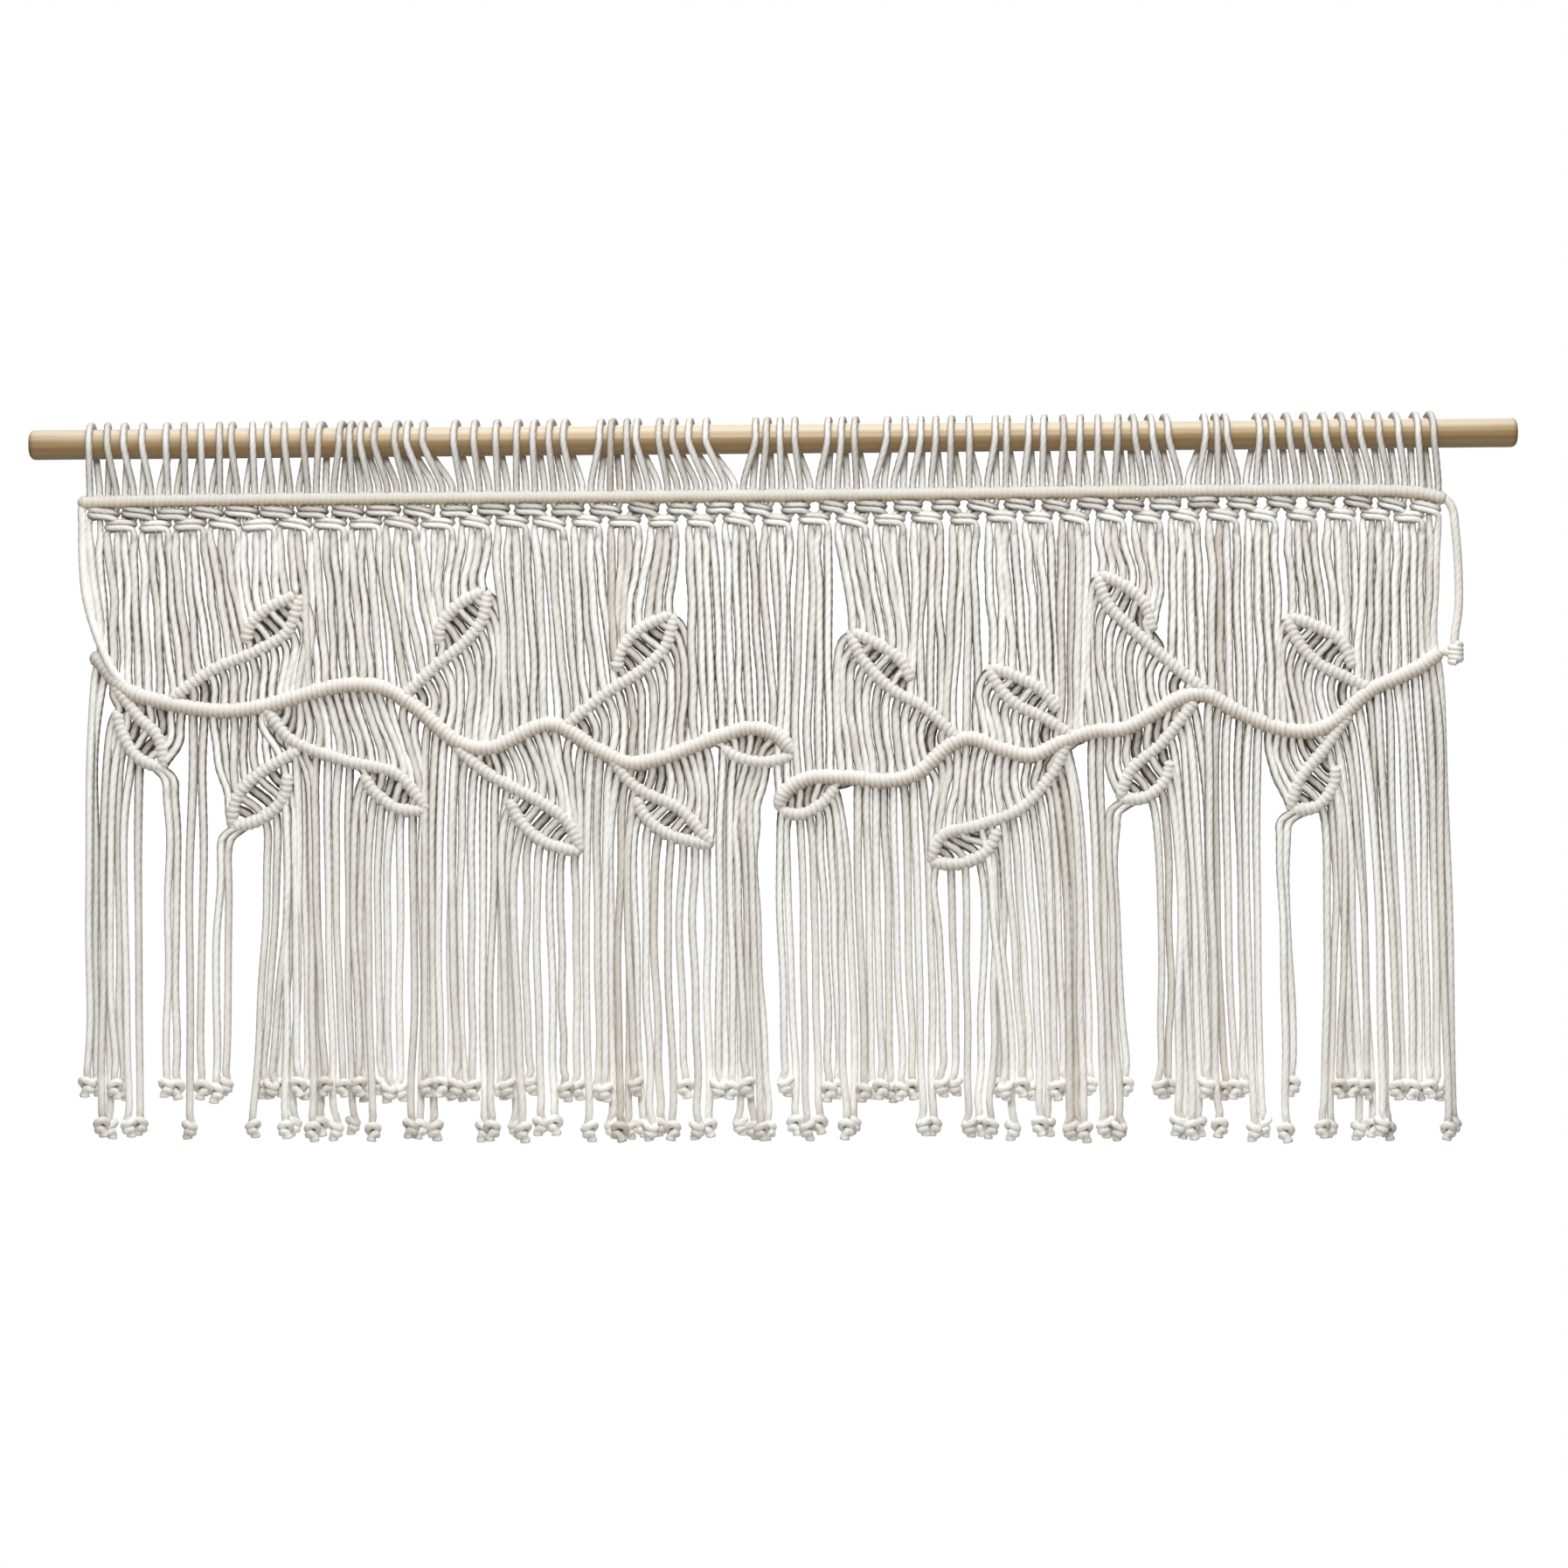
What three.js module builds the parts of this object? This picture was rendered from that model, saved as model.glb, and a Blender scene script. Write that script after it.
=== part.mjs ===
// A macrame curtain, a short valance, that hangs on a wooden rod.
// Millimetres, +Z up. X runs along the rod, the front faces -Y, the origin is the middle of the rod's axis.
// Folded cords hang over the rod and are knotted to a header bar, to two wavy vines and to the stems and
// edges of the leaves that grow from the vines. Below the last bar each cord's two legs hang as a fringe.

import * as THREE from "three";

// Rod
const ROD_LENGTH = 1100;
const ROD_RADIUS = 11;
const ROD_SIDES = 28;
const ROD_END_ROUND = 4;
const ROD_END_EASE = 0.3;

// Cords: the two legs of each folded cord run side by side, so they are one strand inside the net
const CORD_COUNT = 74;
const STRAND_HALF_WIDTH = 3.9;
const STRAND_HALF_DEPTH = 2.9;
const FILLER_HALF_WIDTH = 2.5;
const FILLER_SHARE = 0.5;
const FILLER_LEFT = -1;
const FILLER_RIGHT = CORD_COUNT;

// Loops over the rod: the angles, in degrees, run from the front over the top to the back
const LOOP_CLEARANCE = 0.35;
const LOOP_THICKNESS = 4.4;
const LOOP_HALF_WIDTH = 2.5;
const LOOP_LEAN = 5;
const LOOP_ANGLES = [171, 117, 63, 9];

// Bars: half sizes across the bar, and how far the ridge of one hitch falls away before the next
const HEADER_BAR = { halfHeight: 4.7, topDepth: 4.7, footDepth: 3.2 };
const VINE_BAR = { halfHeight: 4.6, topDepth: 2.9, crownDepth: 4.9, footDepth: 2.9 };
const LEAF_BAR = { halfHeight: 3.8, topDepth: 3.4, footDepth: 3.4 };
const RIDGE_FALL = 0.82;

// Square knots under the header draw the cords together two by two
const KNOT_CROWN_Z = -56;
const KNOT_FOOT_Z = -67;
const KNOT_DRAW = 1.5;
const KNOT_HALF_WIDTH = 4.4;
const KNOT_HALF_DEPTH = 4.7;

// Fringe
const TAIL_RADIUS = 3.3;
const TAIL_STAGGER = 4.5;
const TAIL_SPACING = 6.2;
const TAIL_EVENNESS = 0.4;
const HEM_HALF_WIDTH = 515;
const HEM_LEVELS = [-478, -481, -507, -510];
const HEM_SLOPE = -0.0087;
const HEM_UNEVENNESS = 2.5;
const HEM_WAVE = 1.7;
const END_KNOT = { radius: 6, halfHeight: 6 };

// Where the cords sit along the rod, in runs with even steps
const LOOP_RUNS = [
  { cords: 4, from: -504, to: -466 },
  { cords: 10, from: -448, to: -335 },
  { cords: 4, from: -319, to: -294 },
  { cords: 3, from: -278, to: -258 },
  { cords: 2, from: -234, to: -220 },
  { cords: 5, from: -202, to: -152 },
  { cords: 4, from: -126, to: -100 },
  { cords: 4, from: -84, to: -49 },
  { cords: 4, from: -13, to: 15 },
  { cords: 3, from: 40, to: 61 },
  { cords: 6, from: 86, to: 145 },
  { cords: 2, from: 165, to: 173 },
  { cords: 9, from: 190, to: 291 },
  { cords: 3, from: 318, to: 335 },
  { cords: 2, from: 358, to: 366 },
  { cords: 9, from: 379, to: 486 },
];

// Centre lines of the header and the vines, from left to right, as [x, z]
const HEADER_LINE = [[-513, -43], [-450, -42], [0, -42], [430, -42], [475, -44], [498, -49]];
// How far a cord sits from an even spread along the header, as [share of the length, distance]
const HEADER_DRIFT = [
  [0, 0], [0.14, -7.5], [0.25, -11], [0.37, -9], [0.51, -3], [0.66, 1], [0.8, 0.5], [0.86, 4], [0.915, 9],
  [1, 2.5],
];
const NO_DRIFT = [[0, 0], [1, 0]];
const LEFT_VINE_LINE = [
  [-505, -154], [-481, -181], [-457, -190], [-411, -198], [-380, -195], [-320, -179], [-290, -181],
  [-268, -193], [-234, -222], [-212, -224], [-166, -208], [-132, -228], [-109, -238], [-86, -234],
  [-40, -216], [-18, -212], [2, -221],
];
const RIGHT_VINE_LINE = [
  [8, -263], [26, -252], [52, -250], [79, -254], [104, -247], [132, -224], [143, -220], [166, -230],
  [189, -236], [212, -225], [234, -218], [257, -216], [279, -207], [303, -191], [339, -205], [379, -218],
  [403, -213], [438, -189], [462, -177], [496, -162],
];

// Leaves: the stem's centre line, as [x, z], the first and last cord that it carries, the first and last
// cord that the leaf's second edge carries, and how far that edge bows out from the stem, as [x, z]
const LEAVES_ABOVE = [
  { stem: [[-441, -180], [-399, -158], [-371, -147], [-353, -122]],
    cords: [5, 11], eye: [8, 11], bow: [-3, 21] },
  { stem: [[-270, -181], [-250, -167], [-234, -154], [-214, -120]],
    cords: [17, 22], eye: [20, 22], bow: [-6, 16] },
  { stem: [[-153, -199], [-123, -180], [-99, -170], [-78, -139]],
    cords: [26, 32], eye: [30, 32], bow: [-6, 16] },
  { stem: [[62, -155], [87, -186], [109, -196], [131, -210]],
    cords: [42, 47], eye: [42, 44], bow: [6, 16] },
  { stem: [[158, -181], [176, -197], [197, -206], [216, -210]],
    cords: [49, 53], eye: [49, 52], bow: [3, 20] },
  { stem: [[237, -112], [267, -149], [291, -162], [316, -180]],
    cords: [55, 60], eye: [55, 57], bow: [6, 16] },
  { stem: [[379, -143], [398, -168], [418, -175], [438, -178]],
    cords: [65, 69], eye: [65, 68], bow: [5, 18] },
];
const LEAVES_BELOW = [
  { stem: [[-479, -196], [-471, -207], [-461, -218], [-446, -240]],
    cords: [2, 5], eye: [2, 5], bow: [-5, -17] },
  { stem: [[-406, -276], [-388, -248], [-378, -240], [-366, -236]],
    cords: [6, 9], eye: [6, 8], bow: [5, -16] },
  { stem: [[-364, -206], [-348, -224], [-309, -236], [-264, -263]],
    cords: [10, 17], eye: [14, 17], bow: [-2, -17] },
  { stem: [[-233, -237], [-214, -249], [-195, -260], [-160, -288]],
    cords: [20, 25], eye: [23, 25], bow: [-4, -17] },
  { stem: [[-120, -248], [-105, -255], [-90, -262], [-55, -290]],
    cords: [28, 33], eye: [29, 33], bow: [-4, -18] },
  { stem: [[122, -306], [149, -288], [184, -272], [213, -240]],
    cords: [46, 53], eye: [46, 48], bow: [3, -18] },
  { stem: [[253, -267], [282, -229], [294, -219], [309, -206]],
    cords: [56, 60], eye: [56, 58], bow: [8, -16] },
  { stem: [[380, -275], [395, -242], [407, -233], [423, -223]],
    cords: [64, 68], eye: [64, 66], bow: [6, -16] },
];
const VINE_END_LEAVES = [
  { eye: [34, 37], bow: [-3, -24] },
  { eye: [38, 41], bow: [4, -24] },
];
const EDGE_START = 0.55;
const LEFT_VINE_LAST_CORD = 37;

// The filler cords that come out of the header's ends, as [x, z] on their way down
const LEFT_FILLER_LINE = [[-514, -72], [-509, -110]];
const RIGHT_FILLER_LINE = [[505, -94], [506, -130]];
const RIGHT_FILLER_KNOT = { x: 502, z: -177, radius: 6, halfHeight: 7 };

// A closed skin of triangles that is built up from rings of points.
// A ring of four runs front left, front right, back right, back left.
class Skin {
  constructor() {
    this.points = [];
    this.triangles = [];
  }

  point(x, y, z) {
    this.points.push(x, y, z);
    return this.points.length / 3 - 1;
  }

  triangle(a, b, c) {
    this.triangles.push(a, b, c);
  }

  quad(a, b, c, d) {
    this.triangle(a, b, c);
    this.triangle(a, c, d);
  }

  side(upper, lower, index) {
    const next = (index + 1) % upper.length;
    this.quad(lower[index], lower[next], upper[next], upper[index]);
  }

  sides(upper, lower) {
    upper.forEach((_, index) => this.side(upper, lower, index));
  }

  sleeve(ring, next) {
    this.sides(next, ring);
  }

  geometry() {
    const geometry = new THREE.BufferGeometry();
    geometry.setAttribute("position", new THREE.Float32BufferAttribute(this.points, 3));
    geometry.setIndex(this.triangles);
    geometry.computeVertexNormals();
    return geometry;
  }
}

const FRONT = 0;
const RIGHT = 1;
const BACK = 2;
const LEFT = 3;

function range([first, last]) {
  return Array.from({ length: last - first + 1 }, (_, step) => first + step);
}

function lineCurve(line) {
  return new THREE.CatmullRomCurve3(line.map(([x, z]) => new THREE.Vector3(x, 0, z)), false, "centripetal");
}

function halfWidthOf(cord) {
  const filler = cord === FILLER_LEFT || cord === FILLER_RIGHT;
  return filler ? FILLER_HALF_WIDTH : STRAND_HALF_WIDTH;
}

function shareOf(cord) {
  const filler = cord === FILLER_LEFT || cord === FILLER_RIGHT;
  return filler ? FILLER_SHARE : 1;
}

// Four points around a centre: along is the unit direction from the left side to the right side
function ringOfFour(skin, centre, along, halfWidth, leftDepth, rightDepth) {
  const dx = along.x * halfWidth;
  const dz = along.z * halfWidth;
  return [
    skin.point(centre.x - dx, -leftDepth, centre.z - dz),
    skin.point(centre.x + dx, -rightDepth, centre.z + dz),
    skin.point(centre.x + dx, rightDepth, centre.z + dz),
    skin.point(centre.x - dx, leftDepth, centre.z - dz),
  ];
}

// The hitch of one cord on a bar: rings from the bar's top to its bottom
function hitch(skin, place, along, cord, bar) {
  const normal = new THREE.Vector3(-along.z, 0, along.x);
  const levels = [{ offset: bar.halfHeight, depth: bar.topDepth }];
  if (bar.crownDepth) levels.push({ offset: 0, depth: bar.crownDepth });
  levels.push({ offset: -bar.halfHeight, depth: bar.footDepth });
  const rings = levels.map(({ offset, depth }) => ringOfFour(
    skin, place.clone().addScaledVector(normal, offset), along, halfWidthOf(cord), depth, depth * RIDGE_FALL,
  ));
  for (let level = 1; level < rings.length; level += 1) {
    skin.side(rings[level - 1], rings[level], FRONT);
    skin.side(rings[level - 1], rings[level], BACK);
  }
  return rings;
}

// The bar's own skin between two neighbouring hitches
function bridge(skin, left, right) {
  const last = left.length - 1;
  for (let level = 1; level <= last; level += 1) {
    skin.quad(left[level][1], right[level][0], right[level - 1][0], left[level - 1][1]);
    skin.quad(right[level][3], left[level][2], left[level - 1][2], right[level - 1][3]);
  }
  skin.quad(left[0][1], right[0][0], right[0][3], left[0][2]);
  skin.quad(left[last][1], left[last][2], right[last][3], right[last][0]);
}

function closeBarEnds(skin, hitches) {
  const first = hitches[0];
  const final = hitches[hitches.length - 1];
  for (let level = 1; level < first.length; level += 1) {
    skin.side(first[level - 1], first[level], LEFT);
    skin.side(final[level - 1], final[level], RIGHT);
  }
}

// The value that a table of [share, value] has at a share
function tableAt(table, share) {
  const next = Math.max(1, table.findIndex(([known]) => known >= share));
  const [before, after] = [table[next - 1], table[next]];
  return THREE.MathUtils.mapLinear(share, before[0], after[0], before[1], after[1]);
}

// Where the cords cross a bar: each cord gets its share of the line's length, and drifts from there
function crossingsAlong(line, cords, drift = NO_DRIFT) {
  const curve = lineCurve(line);
  const length = curve.getLength();
  const total = cords.reduce((sum, cord) => sum + shareOf(cord), 0);
  let used = 0;
  return cords.map((cord) => {
    const even = (used + shareOf(cord) / 2) / total;
    used += shareOf(cord);
    return { cord, place: curve.getPointAt(even + tableAt(drift, even) / length) };
  });
}

// The second edge of a leaf bows out from the crossings on its stem
function edgeCrossings(stemCrossings, [first, last], [bowX, bowZ]) {
  const kept = stemCrossings.filter(({ cord }) => cord >= first && cord <= last);
  return kept.map(({ cord, place }, index) => {
    const swell = Math.sin((Math.PI * (index + 0.5)) / kept.length);
    const share = EDGE_START + (1 - EDGE_START) * swell;
    return { cord, place: new THREE.Vector3(place.x + share * bowX, 0, place.z + share * bowZ) };
  });
}

// A bar: every cord that crosses it gets a hitch, and the strand that comes from above is joined to it
function addBar(skin, strands, crossings, bar) {
  const hitches = crossings.map(({ cord, place }, index) => {
    const before = crossings[Math.max(index - 1, 0)].place;
    const after = crossings[Math.min(index + 1, crossings.length - 1)].place;
    const along = after.clone().sub(before).normalize();
    const rings = hitch(skin, place, along, cord, bar);
    if (strands[cord]) skin.sides(strands[cord], rings[0]);
    strands[cord] = rings[rings.length - 1];
    return rings;
  });
  hitches.slice(1).forEach((right, index) => bridge(skin, hitches[index], right));
  closeBarEnds(skin, hitches);
  return hitches;
}

function middleOf(skin, ring) {
  const middle = [0, 1, 2].map((axis) => (
    ring.reduce((sum, corner) => sum + skin.points[3 * corner + axis], 0) / ring.length
  ));
  return { x: middle[0], y: middle[1], z: middle[2] };
}

function loopPlaces() {
  return LOOP_RUNS.flatMap(({ cords, from, to }) => (
    Array.from({ length: cords }, (_, step) => from + ((to - from) * step) / (cords - 1))
  ));
}

// A folded cord over the rod: a sleeve of three sides from the header's front edge to its back edge
function addLoop(skin, headerTop, rodX) {
  const [frontLeft, frontRight, backRight, backLeft] = headerTop;
  const middle = middleOf(skin, headerTop);
  const fork = skin.point(middle.x, middle.y, middle.z);
  skin.triangle(frontRight, backRight, fork);
  skin.triangle(backLeft, frontLeft, fork);
  const step = THREE.MathUtils.degToRad(LOOP_ANGLES[0] - LOOP_ANGLES[1]);
  const inner = (ROD_RADIUS + LOOP_CLEARANCE) / Math.cos(step / 2);
  const outer = inner + LOOP_THICKNESS;
  let ring = [frontLeft, frontRight, fork];
  for (const angle of LOOP_ANGLES) {
    const turn = THREE.MathUtils.degToRad(angle);
    const x = rodX + LOOP_LEAN * (0.5 - angle / 180);
    const next = [
      skin.point(x - LOOP_HALF_WIDTH, outer * Math.cos(turn), outer * Math.sin(turn)),
      skin.point(x + LOOP_HALF_WIDTH, outer * Math.cos(turn), outer * Math.sin(turn)),
      skin.point(x, inner * Math.cos(turn), inner * Math.sin(turn)),
    ];
    skin.sleeve(ring, next);
    ring = next;
  }
  skin.sleeve(ring, [backLeft, backRight, fork]);
}

// Moves a strand on to its next level ring on the way down
function leadStrand(skin, strands, cord, { x, z }, halfWidth, halfDepth) {
  const next = ringOfFour(skin, { x, z }, { x: 1, z: 0 }, halfWidth, halfDepth, halfDepth);
  skin.sides(strands[cord], next);
  strands[cord] = next;
}

function addKnots(skin, strands) {
  range([0, CORD_COUNT - 1]).forEach((cord) => {
    const draw = cord % 2 === 1 ? KNOT_DRAW : -KNOT_DRAW;
    const x = middleOf(skin, strands[cord]).x + draw;
    leadStrand(skin, strands, cord, { x, z: KNOT_CROWN_Z }, KNOT_HALF_WIDTH, KNOT_HALF_DEPTH);
    leadStrand(skin, strands, cord, { x, z: KNOT_FOOT_Z }, STRAND_HALF_WIDTH, STRAND_HALF_DEPTH);
  });
}

function leadFiller(skin, strands, filler, line) {
  line.forEach(([x, z]) => {
    leadStrand(skin, strands, filler, { x, z }, FILLER_HALF_WIDTH, STRAND_HALF_DEPTH);
  });
}

function addLeafAbove(skin, strands, { stem, cords, eye, bow }) {
  const crossings = crossingsAlong(stem, range(cords));
  addBar(skin, strands, edgeCrossings(crossings, eye, bow), LEAF_BAR);
  addBar(skin, strands, crossings, LEAF_BAR);
}

function addLeafBelow(skin, strands, { stem, cords, eye, bow }) {
  const crossings = crossingsAlong(stem, range(cords));
  addBar(skin, strands, crossings, LEAF_BAR);
  addBar(skin, strands, edgeCrossings(crossings, eye, bow), LEAF_BAR);
}

// Keeps the order of the places and moves them at least the given spacing apart
function spread(places, spacing) {
  const rightward = [...places];
  const leftward = [...places];
  for (let index = 1; index < places.length; index += 1) {
    rightward[index] = Math.max(places[index], rightward[index - 1] + spacing);
    const mirrored = places.length - 1 - index;
    leftward[mirrored] = Math.min(places[mirrored], leftward[mirrored + 1] - spacing);
  }
  return rightward.map((place, index) => (place + leftward[index]) / 2);
}

function ringOfThree(skin, { x, y, z }, radius, facing) {
  const half = 0.5 * radius * facing;
  const wide = Math.sqrt(0.75) * radius * facing;
  return [
    skin.point(x - half, y - wide, z),
    skin.point(x - half, y + wide, z),
    skin.point(x + radius * facing, y, z),
  ];
}

// One leg of a cord below the last bar: a sleeve of three sides down to its end knot
function addTail(skin, root, knot, facing) {
  const neck = { x: knot.x, y: knot.y, z: knot.z + END_KNOT.halfHeight };
  const rings = [
    root,
    ringOfThree(skin, neck, TAIL_RADIUS, facing),
    ringOfThree(skin, knot, END_KNOT.radius, facing),
  ];
  skin.sleeve(rings[0], rings[1]);
  skin.sleeve(rings[1], rings[2]);
  const foot = skin.point(knot.x, knot.y, knot.z - END_KNOT.halfHeight);
  rings[2].forEach((corner, index) => skin.triangle(corner, rings[2][(index + 1) % 3], foot));
}

function addFringe(skin, strands) {
  const cords = range([0, CORD_COUNT - 1]);
  const roots = cords.flatMap((cord) => {
    const { x } = middleOf(skin, strands[cord]);
    return [x - STRAND_HALF_WIDTH / 2, x + STRAND_HALF_WIDTH / 2];
  });
  const aims = roots.map((x, tail) => {
    const even = HEM_HALF_WIDTH * ((2 * tail) / (roots.length - 1) - 1);
    return THREE.MathUtils.lerp(x, even, TAIL_EVENNESS);
  });
  const hem = spread(aims, TAIL_SPACING);
  cords.forEach((cord) => {
    const [frontLeft, frontRight, backRight, backLeft] = strands[cord];
    const middle = middleOf(skin, strands[cord]);
    const fork = skin.point(middle.x, middle.y, middle.z);
    skin.triangle(frontRight, frontLeft, fork);
    skin.triangle(backLeft, backRight, fork);
    const legs = [
      { root: [frontLeft, backLeft, fork], facing: 1 },
      { root: [backRight, frontRight, fork], facing: -1 },
    ];
    legs.forEach(({ root, facing }, leg) => {
      const tail = 2 * cord + leg;
      const x = hem[tail];
      const wave = HEM_UNEVENNESS * Math.sin(HEM_WAVE * tail);
      const z = HEM_LEVELS[tail % HEM_LEVELS.length] + HEM_SLOPE * x + wave;
      addTail(skin, root, { x, y: -TAIL_STAGGER * facing, z }, facing);
    });
  });
}

function addFillerEnds(skin, strands) {
  const [frontLeft, frontRight, backRight, backLeft] = strands[FILLER_LEFT];
  skin.quad(frontLeft, backLeft, backRight, frontRight);
  const { x, z, radius, halfHeight } = RIGHT_FILLER_KNOT;
  const levels = [
    { at: z + halfHeight, half: FILLER_HALF_WIDTH },
    { at: z, half: radius },
    { at: z - halfHeight, half: FILLER_HALF_WIDTH },
  ];
  levels.forEach(({ at, half }) => leadStrand(skin, strands, FILLER_RIGHT, { x, z: at }, half, half));
  const [a, b, c, d] = strands[FILLER_RIGHT];
  skin.quad(a, d, c, b);
}

function netGeometry() {
  const skin = new Skin();
  const strands = {};
  const everyCord = range([FILLER_LEFT, FILLER_RIGHT]);
  const headerCrossings = crossingsAlong(HEADER_LINE, everyCord, HEADER_DRIFT);
  const header = addBar(skin, strands, headerCrossings, HEADER_BAR);
  const places = loopPlaces();
  header.forEach(([top], index) => {
    const cord = everyCord[index];
    if (cord === FILLER_LEFT || cord === FILLER_RIGHT) skin.quad(...top);
    else addLoop(skin, top, places[cord]);
  });
  addKnots(skin, strands);
  leadFiller(skin, strands, FILLER_LEFT, LEFT_FILLER_LINE);
  leadFiller(skin, strands, FILLER_RIGHT, RIGHT_FILLER_LINE);
  LEAVES_ABOVE.forEach((leaf) => addLeafAbove(skin, strands, leaf));
  const leftVine = crossingsAlong(LEFT_VINE_LINE, range([FILLER_LEFT, LEFT_VINE_LAST_CORD]));
  const rightVine = crossingsAlong(RIGHT_VINE_LINE, range([LEFT_VINE_LAST_CORD + 1, FILLER_RIGHT]));
  addBar(skin, strands, leftVine, VINE_BAR);
  addBar(skin, strands, rightVine, VINE_BAR);
  VINE_END_LEAVES.forEach(({ eye, bow }) => {
    addBar(skin, strands, edgeCrossings([...leftVine, ...rightVine], eye, bow), LEAF_BAR);
  });
  LEAVES_BELOW.forEach((leaf) => addLeafBelow(skin, strands, leaf));
  addFringe(skin, strands);
  addFillerEnds(skin, strands);
  return skin.geometry();
}

// The rod's sides are flat strips, with one strip facing straight down
function rodGeometry() {
  const skin = new Skin();
  const half = ROD_LENGTH / 2;
  const ease = ROD_END_EASE * ROD_END_ROUND;
  const stations = [
    { x: -half, radius: ROD_RADIUS - ROD_END_ROUND },
    { x: -half + ease, radius: ROD_RADIUS - ease },
    { x: -half + ROD_END_ROUND, radius: ROD_RADIUS },
    { x: half - ROD_END_ROUND, radius: ROD_RADIUS },
    { x: half - ease, radius: ROD_RADIUS - ease },
    { x: half, radius: ROD_RADIUS - ROD_END_ROUND },
  ];
  const rings = stations.map(({ x, radius }) => Array.from({ length: ROD_SIDES }, (_, side) => {
    const turn = (2 * Math.PI * (side + 0.5)) / ROD_SIDES;
    return skin.point(x, radius * Math.sin(turn), -radius * Math.cos(turn));
  }));
  rings.slice(1).forEach((ring, index) => skin.sides(ring, rings[index]));
  const first = rings[0];
  const last = rings[rings.length - 1];
  for (let side = 2; side < ROD_SIDES; side += 1) {
    skin.triangle(first[0], first[side], first[side - 1]);
    skin.triangle(last[0], last[side - 1], last[side]);
  }
  return skin.geometry();
}

function named(name, geometry, look) {
  const mesh = new THREE.Mesh(geometry, new THREE.MeshStandardMaterial(look));
  mesh.name = name;
  return mesh;
}

const curtain = new THREE.Group();
curtain.add(named("rod", rodGeometry(), { color: 0xc9a06a, roughness: 0.55, metalness: 0 }));
curtain.add(named("macrame_net", netGeometry(), { color: 0xe9e2d6, roughness: 0.95, metalness: 0 }));

export default curtain;
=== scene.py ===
"""The looks of a macrame curtain that hangs on a wooden rod.

Sizes and places below are in millimetres, in the frame of the solids: X along the rod, +Z up, the front
faces -Y. The meshes are made in metres. Seventy-four cords hang folded over the rod, so 148 strands run
from the header bar through square knots, leaves and vines down to the knotted fringe.
"""

import math

import bmesh
import bpy
import numpy as np
from mathutils import Matrix, Vector


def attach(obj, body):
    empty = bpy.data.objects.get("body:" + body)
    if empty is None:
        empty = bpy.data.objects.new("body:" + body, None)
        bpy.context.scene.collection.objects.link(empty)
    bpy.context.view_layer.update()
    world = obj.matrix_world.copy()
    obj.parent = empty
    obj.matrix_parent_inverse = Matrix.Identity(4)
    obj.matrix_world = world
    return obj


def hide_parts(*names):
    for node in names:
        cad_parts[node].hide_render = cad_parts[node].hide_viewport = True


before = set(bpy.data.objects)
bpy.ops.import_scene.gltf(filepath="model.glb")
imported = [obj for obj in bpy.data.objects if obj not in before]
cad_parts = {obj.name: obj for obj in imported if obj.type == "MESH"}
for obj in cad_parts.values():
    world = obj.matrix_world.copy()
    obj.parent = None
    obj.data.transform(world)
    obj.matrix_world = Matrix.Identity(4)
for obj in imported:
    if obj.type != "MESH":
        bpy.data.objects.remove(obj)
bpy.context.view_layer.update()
chance = np.random.default_rng(7)

MM = 0.001
DOWN = np.array([0.0, 0.0, -1.0])

# Rod
ROD_LENGTH = 1100
ROD_RADIUS = 11
ROD_END_ROUND = 4.5
ROD_END_STEPS = 6
ROD_STATIONS = 44
ROD_SIDES = 56
ROD_WAVER = 0.12
ROD_WAVER_LENGTHS = (37, 91)

# Cords
CORDS = 74
STRANDS = 2 * CORDS
LOOP_CORD_RADIUS = 2.65
FILLER_RADIUS = 3.2
# How thick a strand is on its way down, by its height
STRAND_RADIUS = ([-345, -250, -95, -76, -70, -65], [2.85, 3.4, 3.4, 3.4, 2.9, 2.35])
STRAND_UNEVENNESS = 0.03
# The middle and the spread of the strands' tints, from 0 for dark to 1 for light
STRAND_TINT = (0.72, 0.27)
CORD_SIDES = 9
PLIES = 3
PLY_DEPTH = 0.06
# The length of one twist
LAY = 20
# A direction that no cord starts in
ASKEW = (0.3, 0.9, 0.2)
STRAND_STEPS = 5
STRAND_RINGS = 224
# How much closer the rings sit in the knots
FINE_RINGS = 1.5

# Loops over the rod
LOOP_RADIUS = 14.0
LOOP_TURNS = [188, 160, 130, 90, 50, 20, -8]
LOOP_LEAN = (0.2, 1.8)
LOOP_STRAY = 0.8
LOOP_STEPS = 8
LOOP_RINGS = 60
# How far the legs of a loop are from the middle and how high, at the header and above it
LOOP_FOOT_Y = 1
LOOP_FOOT_Z = -40
LOOP_NECK_Y = 2.5
LOOP_NECK_Z = -33
# How much painted shade the cord gets, by its height, most over the rod
LOOP_SHADE = ([-45, 0, 10, 15], [0.07, 0.11, 0.2, 0.28])
LOOP_FRONT_TO_RIGHT = set(range(1, 13)) | set(range(57, 74))

# Bars
HEADER_RADIUS = 5.3
VINE_RADIUS = 6.2
LEAF_RADIUS = 5.1
BAR_SIDES = 16
BAR_TINT = (0.45, 0.75)
BAR_END_LEAST = 0.04
WRAP_STEPS = 5
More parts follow.
